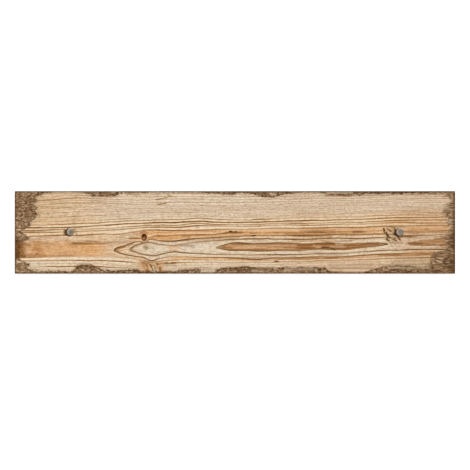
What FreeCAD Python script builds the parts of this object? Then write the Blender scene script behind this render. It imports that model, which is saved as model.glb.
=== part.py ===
"""A porcelain plank tile with a wood-look face: one pressed, fired and squared slab, lying face up.

The frame: +X runs along the plank and its printed grain, +Y across it, +Z out of the glazed face.
The origin is the middle of the back, on the plane of the rib tops that the plank lies on. Millimetres.
"""

import os

import FreeCAD
import Part

# The squared slab
PLANK_LENGTH = 800.0
PLANK_WIDTH = 150.0
PLANK_THICKNESS = 9.5

# The ground edges: a fine bevel round the face, and a finer one round the back
FACE_BEVEL = 0.8
BACK_BEVEL = 0.5

# The pressed back: rows of shallow pockets that the adhesive keys into, with ribs left between them
POCKET_DEPTH = 1.0
POCKET_PITCH = 22.0
POCKET_DRAFT = 0.7
POCKET_CORNER_CLIP = 3.0
RIB_WIDTH = 4.0
BACK_MARGIN = 10.0


def pockets_per_half(half_size):
    """How many pockets fit from the middle rib to the plain margin, near the wanted pitch."""
    return max(1, round((half_size - BACK_MARGIN + RIB_WIDTH / 2) / POCKET_PITCH))


def fitted_pitch(half_size):
    """The pitch at which the last pocket ends exactly at the plain margin."""
    return (half_size - BACK_MARGIN + RIB_WIDTH / 2) / pockets_per_half(half_size)


def pocket_places(half_size):
    """Pocket centres along one axis, in pairs about the rib that crosses the middle."""
    count = pockets_per_half(half_size)
    pitch = fitted_pitch(half_size)
    return [(step + 0.5) * pitch for step in range(-count, count)]


def clipped_rectangle(size_x, size_y, clip, height):
    """A rectangle about the Z axis with its corners cut at 45 degrees, as a closed wire at one height."""
    half_x = size_x / 2
    half_y = size_y / 2
    outline = [
        (half_x, clip - half_y),
        (half_x, half_y - clip),
        (half_x - clip, half_y),
        (clip - half_x, half_y),
        (-half_x, half_y - clip),
        (-half_x, clip - half_y),
        (clip - half_x, -half_y),
        (half_x - clip, -half_y),
    ]
    points = [FreeCAD.Vector(x, y, height) for x, y in outline]
    return Part.makePolygon(points + points[:1])


def pocket_cutter():
    """One drafted pocket: widest at the mouth on the back, and run on below it for a clean cut."""
    mouth_x = fitted_pitch(PLANK_LENGTH / 2) - RIB_WIDTH
    mouth_y = fitted_pitch(PLANK_WIDTH / 2) - RIB_WIDTH
    wires = []
    for height in (-POCKET_DEPTH, POCKET_DEPTH):
        inset = POCKET_DRAFT * height / POCKET_DEPTH
        wires.append(
            clipped_rectangle(mouth_x - 2 * inset, mouth_y - 2 * inset, POCKET_CORNER_CLIP, height)
        )
    return Part.makeLoft(wires, True, True)


def edges_at_height(solid, height):
    """The straight edges that lie level at one height."""
    return [edge for edge in solid.Edges if all(abs(v.Z - height) < 1e-6 for v in edge.Vertexes)]


def squared_slab():
    """The slab as it leaves the squaring wheels, with its face and back arrises ground off."""
    slab = Part.makeBox(
        PLANK_LENGTH,
        PLANK_WIDTH,
        PLANK_THICKNESS,
        FreeCAD.Vector(-PLANK_LENGTH / 2, -PLANK_WIDTH / 2, 0),
    )
    slab = slab.makeChamfer(FACE_BEVEL, edges_at_height(slab, PLANK_THICKNESS))
    return slab.makeChamfer(BACK_BEVEL, edges_at_height(slab, 0))


def porcelain_plank():
    """The whole tile: the squared slab with its keyed back."""
    cutter = pocket_cutter()
    pockets = []
    for x in pocket_places(PLANK_LENGTH / 2):
        for y in pocket_places(PLANK_WIDTH / 2):
            pocket = cutter.copy()
            pocket.translate(FreeCAD.Vector(x, y, 0))
            pockets.append(pocket)
    return squared_slab().cut(pockets)


plank = porcelain_plank()
os.makedirs("parts", exist_ok=True)
plank.exportStep("parts/porcelain_plank.step")
print("solids", len(plank.Solids), "valid", plank.isValid(), "volume mm3", round(plank.Volume))
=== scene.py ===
import math

import bpy
import numpy as np
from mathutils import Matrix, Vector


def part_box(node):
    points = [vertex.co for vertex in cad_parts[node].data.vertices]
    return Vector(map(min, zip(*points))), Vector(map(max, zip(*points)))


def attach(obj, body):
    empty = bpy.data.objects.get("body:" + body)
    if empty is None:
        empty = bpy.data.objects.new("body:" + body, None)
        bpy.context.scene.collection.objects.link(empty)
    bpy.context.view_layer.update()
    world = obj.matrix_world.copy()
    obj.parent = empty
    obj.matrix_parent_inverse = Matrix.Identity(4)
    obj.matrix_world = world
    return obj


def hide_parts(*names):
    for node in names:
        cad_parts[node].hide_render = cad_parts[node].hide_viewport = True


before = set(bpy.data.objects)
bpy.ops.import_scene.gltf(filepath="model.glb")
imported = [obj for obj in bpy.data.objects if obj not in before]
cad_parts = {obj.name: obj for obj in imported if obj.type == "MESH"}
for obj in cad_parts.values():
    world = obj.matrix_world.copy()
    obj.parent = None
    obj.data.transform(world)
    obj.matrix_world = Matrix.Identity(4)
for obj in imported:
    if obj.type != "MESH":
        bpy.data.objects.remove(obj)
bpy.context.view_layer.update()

# The squared slab
# The real tile is one porcelain slab, pressed face up from dry powder, glazed, printed and fired, and then
# ground square on all four sides. Its size comes from the frame, and everything below is in millimetres.
MM = 0.001
low_corner, high_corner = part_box("porcelain_plank")
PLANK_LENGTH = (high_corner.x - low_corner.x) / MM
PLANK_WIDTH = (high_corner.y - low_corner.y) / MM
PLANK_THICKNESS = (high_corner.z - low_corner.z) / MM
HALF_LENGTH = PLANK_LENGTH / 2
HALF_WIDTH = PLANK_WIDTH / 2
FACE_BEVEL = 0.8
BACK_BEVEL = 0.5

# The face is a fine net of points, close enough together for the furrows of the grain to be real
FACE_COLUMNS = 470
FACE_ROWS = 180
face_x = np.linspace(FACE_BEVEL - HALF_LENGTH, HALF_LENGTH - FACE_BEVEL, FACE_COLUMNS + 1)
face_y = np.linspace(FACE_BEVEL - HALF_WIDTH, HALF_WIDTH - FACE_BEVEL, FACE_ROWS + 1)
net_x, net_y = np.meshgrid(face_x, face_y)

# The growth rings of the wood figure
# The figure is a flat-sawn softwood board with a peg hole: rings run the length of the plank, and those under
# the hole close in nested arches. It is printed into the glaze, with a shallow furrow along each dark ring.
# Each line below is drawn through a few points, and its ring number counts outwards from the heart.


def smooth_path(points, x):
    """The height of a drawn line at each x: a smooth curve through its points."""
    along, across = np.array(points, float).T
    slope = np.gradient(across, along)
    place = np.clip(np.searchsorted(along, x) - 1, 0, len(along) - 2)
    span = along[place + 1] - along[place]
    t = np.clip((x - along[place]) / span, 0.0, 1.0)
    start = across[place] * (1 + 2 * t) * (1 - t) ** 2 + slope[place] * span * t * (1 - t) ** 2
    end = across[place + 1] * t**2 * (3 - 2 * t) + slope[place + 1] * span * t**2 * (t - 1)
    return start + end


grain_lines = []


def grain_line(ring, side, path, ink):
    """One drawn ring: its number, its side of the heart, its path, and how dark it prints along the plank."""
    grain_lines.append({"ring": ring, "side": side, "path": path, "ink": ink})


ABOVE, BELOW = 0, 1

# Sapwood above the arches, from the top edge down
grain_line(22, ABOVE, [(-400, 75.0), (400, 75.0)], [(-400, 0), (400, 0)])
grain_line(19, ABOVE,
           [(-400, 57.0), (-355, 57.3), (-318, 59.9), (-282, 61.9), (-245, 60.1), (-173, 58.2),
            (-100, 60.2), (-27, 58.6), (45, 59.4), (118, 59.9), (191, 61.0), (264, 62.9), (336, 63.9),
            (400, 65.5)],
           [(-400, 0.3), (-318, 0.55), (-282, 0.4), (-173, 0.25), (118, 0.2), (191, 0.28), (264, 0.22),
            (400, 0.25)])
grain_line(17, ABOVE,
           [(-400, 48.0), (-355, 48.9), (-318, 51.8), (-245, 52.8), (-173, 49.6), (-64, 48.9), (9, 48.5),
            (82, 50.2), (155, 52.0), (227, 54.0), (300, 56.2), (400, 56.6)],
           [(-400, 0.25), (-245, 0.4), (-100, 0.14), (-64, 0.3), (9, 0.2), (155, 0.2), (400, 0.2)])
grain_line(14, ABOVE,
           [(-400, 38.5), (-318, 39.8), (-282, 41.5), (-209, 41.3), (-173, 38.6), (-136, 39.7),
            (-27, 40.0), (9, 39.8), (82, 41.4), (155, 43.1), (227, 44.8), (400, 45.5)],
           [(-400, 0.12), (-282, 0.2), (-27, 0.22), (9, 0.3), (82, 0.2), (227, 0.12), (400, 0.2)])
grain_line(12, ABOVE,
           [(-400, 24.5), (-355, 26.4), (-282, 28.6), (-209, 32.4), (-173, 34.0), (-100, 35.8), (9, 34.4),
            (82, 35.8), (191, 36.2), (264, 39.4), (336, 42.8), (400, 42.4)],
           [(-400, 0.25), (-282, 0.3), (-136, 0.2), (-100, 0.45), (-64, 0.22), (45, 0.15), (400, 0.15)])
grain_line(10, ABOVE,
           [(-400, 17.5), (-355, 18.4), (-245, 22.2), (-209, 23.6), (-136, 27.0), (-64, 29.0), (-27, 27.7),
            (45, 27.4), (82, 29.0), (155, 31.0), (191, 32.6), (264, 34.5), (400, 35.0)],
           [(-400, 0.15), (-245, 0.2), (-209, 0.5), (-173, 0.2), (45, 0.25), (118, 0.12), (400, 0.1)])
grain_line(9, ABOVE,
           [(-400, 12.2), (-333, 13.8), (-260, 16.4), (-200, 19.9), (-160, 21.0), (-140, 21.9),
            (-109, 22.7), (-96, 22.9), (-71, 25.0), (-27, 23.2), (9, 22.0), (82, 25.2), (155, 26.7),
            (227, 27.9), (268, 30.3), (400, 30.8)],
           [(-400, 0.3), (-340, 0.35), (-318, 0.55), (-245, 0.55), (-173, 0.45), (-100, 0.5), (-27, 0.5),
            (9, 0.25), (45, 0.65), (82, 0.28), (227, 0.25), (264, 0.45), (336, 0.35), (400, 0.2)])
grain_line(8, ABOVE,
           [(-400, 8.0), (-349, 7.9), (-311, 8.7), (-273, 10.6), (-235, 12.8), (-200, 15.1), (-165, 16.1),
            (-147, 17.2), (-96, 18.3), (-69, 20.1), (-36, 18.2), (16, 17.9), (55, 18.8), (93, 20.1),
            (129, 21.0), (193, 22.4), (231, 23.2), (256, 24.4), (284, 25.9), (331, 26.5), (400, 27.2)],
           [(-400, 0.8), (-318, 1.0), (-282, 1.0), (-209, 0.75), (-136, 0.85), (-100, 1.1), (-64, 0.95),
            (-27, 0.68), (82, 0.75), (118, 0.9), (155, 0.7), (191, 0.5), (300, 0.6), (373, 0.5),
            (400, 0.4)])
grain_line(7, ABOVE,
           [(-400, 3.2), (-355, 3.3), (-318, 4.5), (-282, 5.1), (-245, 5.9), (-209, 7.8), (-173, 11.2),
            (-136, 12.6), (-100, 12.8), (-67, 15.9), (-45, 14.2), (45, 14.2), (82, 15.8), (155, 16.4),
            (191, 17.6), (227, 17.9), (264, 19.7), (300, 21.4), (400, 21.9)],
           [(-400, 0.5), (-355, 0.7), (-330, 0.75), (-312, 0.4), (-282, 0.5), (-209, 0.35), (-191, 0.6),
            (-100, 0.5), (-27, 0.58), (9, 0.35), (45, 0.5), (82, 0.4), (118, 0.7), (155, 0.3), (227, 0.5),
            (264, 0.5), (278, 0.7), (286, 0.7), (300, 0.6), (400, 0.55)])
grain_line(6, ABOVE,
           [(-400, -0.6), (-355, 0.0), (-318, 0.3), (-282, 1.7), (-245, 2.8), (-209, 5.1), (-173, 7.6),
            (-136, 9.1), (-105, 8.9), (-67, 11.8), (-27, 10.9), (45, 11.1), (82, 12.7), (155, 12.9),
            (191, 14.4), (227, 14.5), (264, 16.1), (300, 17.6), (336, 16.5), (400, 17.2)],
           [(-400, 0.4), (-355, 0.7), (-330, 0.6), (-312, 0.3), (-282, 0.5), (-209, 0.5), (-173, 0.4),
            (-136, 0.7), (-100, 0.7), (-27, 0.48), (9, 0.4), (45, 0.5), (82, 0.4), (118, 0.6), (191, 0.35),
            (264, 0.35), (300, 0.5), (336, 0.6), (400, 0.45)])
grain_line(5, ABOVE,
           [(-400, -8.5), (-373, -7.4), (-349, -6.6), (-318, -5.5), (-282, -5.7), (-265, -4.7),
            (-247, -3.3), (-209, -3.7), (-185, 0.6), (-165, 3.7), (-147, 4.1), (-100, 3.1), (-55, 4.2),
            (-27, 5.1), (29, 5.5), (82, 7.1), (127, 7.4), (193, 8.6), (231, 8.9), (264, 10.7), (300, 10.4),
            (336, 11.9), (400, 12.9)],
           [(-400, 0.4), (-355, 0.5), (-318, 0.6), (-282, 0.6), (-245, 0.55), (-209, 0.5), (-173, 0.4),
            (-136, 0.62), (-64, 0.65), (-27, 0.45), (9, 0.3), (45, 0.45), (155, 0.6), (400, 0.5)])
grain_line(4, ABOVE,
           [(-400, -18.0), (-366, -18.4), (-345, -20.4), (-310, -20.6), (-291, -19.4), (-262, -20.2),
            (-235, -20.3), (-215, -17.0), (-198, -12.9), (-190, -11.2), (-178, -10.8), (-165, -11.7),
            (-155, -10.2), (-140, -6.7), (-127, -7.0), (-109, -5.6), (-64, -4.9), (-36, -4.0), (-7, -0.3),
            (33, -1.2), (82, -0.9), (118, -0.6), (155, -0.5), (191, 0.4), (227, 1.4), (273, 2.3),
            (300, 1.8), (336, 0.5), (373, 1.9), (400, 4.0)],
           [(-400, 0.0), (-300, 0.0), (-286, 0.3), (-240, 0.3), (-224, 0.1), (-200, 0.1), (-190, 0.7),
            (-177, 0.7), (-168, 0.3), (-155, 0.4), (-136, 0.45), (-100, 0.45), (-64, 0.6), (-25, 0.5),
            (-18, 0.7), (9, 0.6), (20, 0.3), (118, 0.3), (140, 0.6), (162, 0.6), (173, 0.3), (213, 0.4),
            (220, 0.7), (229, 0.7), (242, 0.3), (336, 0.3), (373, 0.5), (400, 0.4)])

# The two arches to the right of the peg hole, the closed tongue between them, and the wedge at the right end
grain_line(3, ABOVE,
           [(-220, -32.0), (-214, -28.2), (-209, -26.6), (-202, -25.1), (-192, -21.4), (-181, -18.0),
            (-173, -17.0), (-166, -17.4), (-160, -15.5), (-154, -13.0), (-148, -12.8), (-142, -14.8),
            (-133, -16.2), (-119, -16.7), (-103, -15.5), (-89, -13.2), (-71, -11.6), (-40, -10.0),
            (-15, -8.4), (11, -7.0), (80, -5.8), (155, -5.9), (180, -4.4), (205, -4.9), (231, -4.6),
            (264, -3.0), (293, -5.6), (318, -6.4), (344, -6.2), (378, -4.6), (400, -3.4)],
           [(-220, 1.0), (-209, 0.8), (-173, 0.6), (-136, 0.52), (-103, 0.95), (-64, 0.58), (-27, 0.6),
            (9, 0.5), (45, 0.5), (82, 0.52), (118, 0.85), (155, 0.7), (191, 0.6), (264, 0.6), (300, 0.6),
            (320, 0.6), (345, 0.5), (400, 0.5)])
grain_line(2, ABOVE,
           [(-191, -31.4), (-189, -28.7), (-186, -26.6), (-183, -24.3), (-178, -22.4), (-170, -20.2),
            (-158, -18.6), (-151, -18.4), (-145, -20.1), (-139, -21.3), (-133, -22.1), (-127, -23.2),
            (-112, -24.0), (-98, -22.0), (-84, -19.5), (-58, -17.0), (-27, -14.9), (-5, -13.1),
            (67, -12.1), (118, -12.8), (155, -11.7), (191, -11.0), (231, -11.1), (264, -9.7), (304, -10.4),
            (336, -10.2), (373, -7.4), (400, -5.8)],
           [(-191, 0.65), (-147, 0.5), (-136, 0.5), (-100, 0.4), (-64, 0.4), (-27, 0.6), (9, 0.7),
            (45, 0.68), (82, 0.5), (105, 0.9), (124, 0.9), (136, 0.55), (191, 0.72), (227, 0.68),
            (264, 0.58), (300, 0.3), (400, 0.15)])
grain_line(1, ABOVE,
           [(-35, -27.8), (-22, -24.2), (-9, -20.4), (5, -19.3), (29, -20.9), (49, -20.5), (76, -19.4),
            (105, -20.7), (127, -21.5), (155, -20.3), (178, -20.2), (202, -21.3), (236, -20.6),
            (269, -20.0), (278, -21.0)],
           [(-35, 0.5), (-18, 0.6), (5, 0.95), (45, 0.75), (118, 0.6), (155, 0.78), (191, 0.4), (227, 0.5),
            (264, 0.75), (278, 0.8)])
grain_line(1, BELOW,
           [(-35, -27.8), (-22, -30.0), (-9, -31.5), (9, -31.7), (45, -33.5), (82, -32.1), (118, -32.3),
            (142, -30.4), (158, -29.4), (175, -30.8), (193, -30.6), (218, -28.6), (244, -25.2),
            (264, -23.2), (278, -21.0)],
           [(-35, 0.6), (9, 0.8), (45, 0.62), (82, 0.68), (118, 0.42), (155, 0.8), (191, 0.5), (264, 0.6),
            (278, 0.8)])
grain_line(1, ABOVE,
           [(308, -21.0), (325, -17.9), (336, -15.6), (351, -14.4), (362, -14.0), (371, -12.0),
            (384, -9.0), (400, -7.6)],
           [(308, 0.2), (336, 0.4), (360, 0.3), (375, 0.5), (400, 0.5)])
grain_line(1, BELOW,
           [(308, -21.0), (322, -22.4), (345, -22.8), (400, -23.2)],
           [(308, 0.2), (322, 0.5), (345, 0.6), (400, 0.6)])
grain_line(2, BELOW,
           [(-191, -31.4), (-189, -33.2), (-184, -34.6), (-178, -36.9), (-170, -38.9), (-162, -40.3),
            (-156, -41.6), (-146, -41.9), (-136, -39.9), (-126, -37.0), (-118, -35.6), (-109, -34.9),
            (-97, -36.2), (-71, -37.8), (-22, -39.8), (45, -40.1), (127, -39.4), (149, -38.2),
            (193, -37.9), (218, -35.9), (251, -33.4), (291, -31.8), (327, -30.9), (400, -30.7)],
           [(-191, 0.65), (-173, 0.5), (-136, 0.6), (-100, 0.65), (-27, 0.48), (9, 0.45), (45, 0.58),
            (82, 0.78), (118, 0.58), (155, 0.58), (191, 0.42), (227, 0.42), (264, 0.6), (300, 0.52),
            (320, 0.8), (345, 0.55), (378, 0.9), (400, 0.6)])
grain_line(3, BELOW,
           [(-220, -32.0), (-214, -35.4), (-209, -37.2), (-199, -39.9), (-188, -41.8), (-179, -43.7),
            (-170, -44.6), (-164, -46.3), (-160, -48.8), (-156, -50.8), (-151, -51.3), (-146, -50.3),
            (-142, -48.4), (-134, -46.6), (-122, -43.6), (-100, -42.8), (-64, -44.8), (-22, -45.6),
            (16, -47.2), (42, -48.8), (67, -46.6), (116, -46.0), (149, -43.6), (175, -44.6), (205, -43.6),
            (231, -41.4), (264, -39.4), (300, -38.0), (336, -36.6), (400, -36.6)],
           [(-220, 1.0), (-209, 0.65), (-173, 0.6), (-162, 0.8), (-153, 1.0), (-136, 0.45), (-100, 0.38),
            (-64, 0.42), (-27, 0.58), (42, 0.8), (82, 0.55), (118, 0.7), (155, 0.42), (191, 0.55),
            (264, 0.65), (300, 0.6), (336, 0.32), (400, 0.25)])

# Heartwood below the arches, down to the bottom edge
grain_line(4, BELOW,
           [(-400, -44.9), (-366, -45.0), (-330, -43.9), (-298, -43.3), (-245, -43.9), (-209, -44.6),
            (-190, -46.6), (-173, -49.3), (-160, -52.3), (-153, -53.5), (-140, -52.4), (-118, -50.2),
            (-91, -49.0), (-22, -49.8), (45, -50.9), (82, -48.3), (118, -48.4), (155, -46.8), (191, -46.3),
            (227, -44.9), (264, -42.9), (300, -41.8), (336, -40.5), (400, -39.3)],
           [(-400, 0.5), (-366, 0.55), (-335, 0.3), (-300, 0.12), (-230, 0.05), (-209, 0.25), (-173, 0.25),
            (-153, 0.5), (-91, 0.28), (-22, 0.15), (45, 0.2), (70, 0.3), (82, 0.55), (100, 0.3),
            (155, 0.5), (191, 0.4), (227, 0.28), (264, 0.15), (300, 0.3), (336, 0.32), (400, 0.15)])
grain_line(5, BELOW,
           [(-400, -51.7), (-355, -51.0), (-282, -50.5), (-245, -50.9), (-209, -52.3), (-175, -54.8),
            (-155, -56.9), (-136, -56.8), (-113, -55.6), (-96, -54.5), (9, -54.4), (75, -53.2),
            (127, -52.4), (155, -50.9), (191, -50.7), (227, -49.2), (264, -47.4), (336, -45.4),
            (400, -45.2)],
           [(-400, 0.4), (-318, 0.45), (-282, 0.62), (-209, 0.6), (-190, 0.5), (-173, 0.25), (-136, 0.2),
            (-113, 0.7), (-96, 0.5), (-64, 0.3), (9, 0.42), (65, 0.3), (75, 0.9), (84, 0.3), (155, 0.45),
            (191, 0.25), (227, 0.42), (300, 0.5), (336, 0.6), (400, 0.6)])
grain_line(6, BELOW,
           [(-400, -56.4), (-318, -56.2), (-245, -56.8), (-209, -60.0), (-173, -60.7), (-100, -59.8),
            (-64, -58.5), (45, -58.2), (118, -56.2), (155, -54.4), (227, -52.4), (300, -50.8),
            (373, -48.6), (400, -48.4)],
           [(-400, 0.08), (-318, 0.12), (-245, 0.2), (-27, 0.2), (118, 0.22), (155, 0.14), (300, 0.22),
            (400, 0.25)])
grain_line(7, BELOW,
           [(-400, -61.9), (-318, -61.6), (-245, -62.0), (-209, -63.4), (-173, -64.6), (-100, -63.8),
            (-27, -62.2), (45, -62.6), (118, -61.5), (155, -60.3), (227, -58.5), (300, -58.1),
            (400, -57.0)],
           [(-400, 0.1), (-355, 0.15), (-338, 0.6), (-282, 0.6), (-245, 0.75), (-209, 0.45), (-173, 0.3),
            (-136, 0.2), (-27, 0.18), (9, 0.45), (45, 0.22), (118, 0.15), (227, 0.22), (400, 0.25)])
grain_line(10, BELOW, [(-400, -75.0), (400, -75.0)], [(-400, 0), (400, 0)])

# The heart line that the arches and the tongue close on, and the part ring number along it
HEART_PATH = [(-400, -31.8), (-318, -31.8), (-220, -32.0), (-191, -31.4), (-109, -29.5), (-35, -27.8),
              (0, -26.4), (118, -26.4), (173, -24.9), (227, -24.6), (278, -21.0), (308, -21.0),
              (345, -18.6), (400, -16.0)]
HEART_RINGS = [(-400, 3.9), (-318, 3.6), (-220, 3.0), (-191, 2.0), (-109, 1.65), (-35, 1.0), (0, 0.55),
               (118, 0.45), (227, 0.6), (278, 1.0), (293, 1.3), (308, 1.0), (345, 0.6), (400, 0.4)]


def wobble(seed, x, wavelength, amount):
    """A smooth unplanned waver along the plank, the same on every run."""
    knots = np.arange(-HALF_LENGTH - wavelength, HALF_LENGTH + 2 * wavelength, wavelength)
    values = np.random.default_rng(seed).normal(0.0, amount, len(knots))
    return smooth_path(list(zip(knots, values)), x)


# Each drawn line wavers a little, and none lies closer to its neighbour than the least gap
WAVER_LENGTH = 17.0
WAVER = 0.22
LEAST_GAP = 0.35
heart_y = smooth_path(HEART_PATH, face_x)
heart_ring = np.interp(face_x, *np.array(HEART_RINGS).T)
grain_lines.sort(key=lambda line: line["ring"])
for number, line in enumerate(grain_lines):
    first_x, last_x = line["path"][0][0], line["path"][-1][0]
    line["height"] = smooth_path(line["path"], face_x) + wobble(number, face_x, WAVER_LENGTH, WAVER)
    line["drawn"] = (face_x >= first_x) & (face_x <= last_x)

ring_number = np.empty(net_x.shape)
for column in range(FACE_COLUMNS + 1):
    heights = [heart_y[column]]
    numbers = [heart_ring[column]]
    for line in grain_lines:
        if line["drawn"][column] and line["side"] == ABOVE:
            heights.append(max(line["height"][column], heights[-1] + LEAST_GAP))
            numbers.append(line["ring"])
        elif line["drawn"][column]:
            heights.insert(0, min(line["height"][column], heights[0] - LEAST_GAP))
            numbers.insert(0, line["ring"])
    ring_number[:, column] = np.interp(face_y, heights, numbers)

# Rings turn evenly from one to the next, so the field is eased a little across the grain
EASING_TURNS = 2
for turn in range(EASING_TURNS):
    eased = (ring_number[:-2] + 2 * ring_number[1:-1] + ring_number[2:]) / 4
    ring_number[1:-1] = eased

# How wide the ring is at each place, from how fast the ring number turns
NARROWEST_RING = 1.2
WIDEST_RING = 60.0
LEAST_SLOPE = 1e-6
slope_y, slope_x = np.gradient(ring_number, face_y, face_x)
ring_width = np.clip(1.0 / np.maximum(np.hypot(slope_x, slope_y), LEAST_SLOPE), NARROWEST_RING, WIDEST_RING)

# The height that each place has on average along its own streak of grain. Streaks and fibres follow it.
through_lines = [line for line in grain_lines if line["drawn"].all()]
through_lines.sort(key=lambda line: line["height"].mean())
average_heights = [line["height"].mean() for line in through_lines]
grain_height = np.empty(net_x.shape)
for column in range(FACE_COLUMNS + 1):
    heights = [line["height"][column] for line in through_lines]
    grain_height[:, column] = np.interp(face_y, heights, average_heights)

# How dark each ring prints: the drawn ones as given, the fine ones between them faint and uneven
above_heart = net_y > heart_y
RING_COUNT = 24
FAINT_INK = 0.2
FAINT_WAVER_LENGTH = 45.0
FAINT_WAVER = 0.06
FIRST_FAINT_SEED = 100
ring_ink = np.empty((2, RING_COUNT, FACE_COLUMNS + 1))
for side in (ABOVE, BELOW):
    for ring in range(RING_COUNT):
        seed = FIRST_FAINT_SEED + side * RING_COUNT + ring
        strength = np.random.default_rng(seed).uniform(0.5, 1.5)
        ring_ink[side, ring] = FAINT_INK * strength + wobble(seed, face_x, FAINT_WAVER_LENGTH, FAINT_WAVER)
for line in grain_lines:
    drawn = line["drawn"]
    ink = np.interp(face_x, *np.array(line["ink"]).T)
    ring_ink[line["side"], line["ring"], drawn] = ink[drawn]
nearest = np.clip(np.rint(ring_number).astype(int), 0, RING_COUNT - 1)
side_here = np.where(above_heart, ABOVE, BELOW)
ink_here = np.clip(ring_ink[side_here, nearest, np.arange(FACE_COLUMNS + 1)], 0.0, 1.0)

# The stains
# Between some rings the old board is stained orange or brown by resin and weather, and bleached in others.
# Each stain is printed as a soft field that keeps to its own rings: below the heart they count as negative.
signed_ring = np.where(above_heart, ring_number, -ring_number)


def soft_step(value, start, end):
    """0 before the start, 1 past the end, and an even ease between them."""
    t = np.clip((value - start) / (end - start), 0.0, 1.0)
    return t * t * (3 - 2 * t)


def stain(from_x, to_x, from_ring, to_ring, amount, run_out=14.0, bleed=0.35):
    """A soft patch between two places along the plank and two rings."""
    along = soft_step(net_x, from_x - run_out, from_x + run_out)
    along = along * soft_step(net_x, to_x + run_out, to_x - run_out)
    across = soft_step(signed_ring, from_ring - bleed, from_ring + bleed)
    across = across * soft_step(signed_ring, to_ring + bleed, to_ring - bleed)
    return amount * along * across


# A stroke is full up to the first share of its half width, and has faded at the second
STROKE_CORE = 0.35
STROKE_EDGE = 1.35
SHORTEST_STROKE = 0.1


def brushed(strokes):
    """Soft strokes, drawn one by one: each runs from one place to another, with a half width and a strength.
    """
    total = np.zeros(net_x.shape)
    for x1, y1, x2, y2, half_width, strength in strokes:
        length = max(math.hypot(x2 - x1, y2 - y1), SHORTEST_STROKE)
        along = np.clip(((net_x - x1) * (x2 - x1) + (net_y - y1) * (y2 - y1)) / length**2, 0.0, 1.0)
        away = np.hypot(net_x - x1 - along * (x2 - x1), net_y - y1 - along * (y2 - y1))
        total = np.maximum(total, strength * soft_step(away / half_width, STROKE_EDGE, STROKE_CORE))
    return total


# Strokes by the colour that they print, each drawn from two ends, a half width and a strength
ORANGE_STROKES = [
    # the fan knot at the bottom edge
    (-165, -55.3, -158, -64.3, 6.5, 0.55), (-147, -55.3, -136, -62.5, 5.8, 0.5),
    (-131, -53.5, -107, -58.9, 2.9, 0.35),
    # the left orange band and its edges
    (-360, -22.8, -351, -37.2, 7.6, 0.7), (-355, -15.5, -296, -16.6, 1.8, 0.4),
    # round the peg hole and the tips of the arches
    (-215, -31.8, -207, -31.1, 2.9, 0.6), (-209, -28.9, -205, -31.1, 3.3, 0.5),
    (-119, -25.3, -118, -31.1, 3.4, 0.6), (-116, -31.8, -102, -33.2, 2.4, 0.4),
    (-116, -25.7, -100, -26.7, 2.7, 0.45),
    # the right end, between the rings
    (307, -34.0, 358, -33.6, 1.4, 0.4), (318, 5.2, 387, 7.0, 4.7, 0.45), (329, -5.8, 365, -5.1, 1.8, 0.3),
    (336, -18.8, 384, -16.3, 3.6, 0.6),
    # the arches above the tongue
    (93, -16.6, 144, -16.6, 2.2, 0.5), (111, -6.5, 173, -7.6, 2.5, 0.35),
    (144, -16.1, 180, -15.5, 2.4, 0.6),
    # the wood above the arches and the left band
    (-358, 27.5, -315, 27.5, 1.4, 0.5), (-355, 58.9, -318, 59.6, 1.6, 0.45),
    (-333, 14.5, -305, 14.5, 1.4, 0.6), (-296, 61.6, -264, 62.2, 1.6, 0.5),
    (260, 18.8, 293, 18.8, 1.4, 0.5), (269, 26.0, 313, 26.4, 1.6, 0.6),
]
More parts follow.
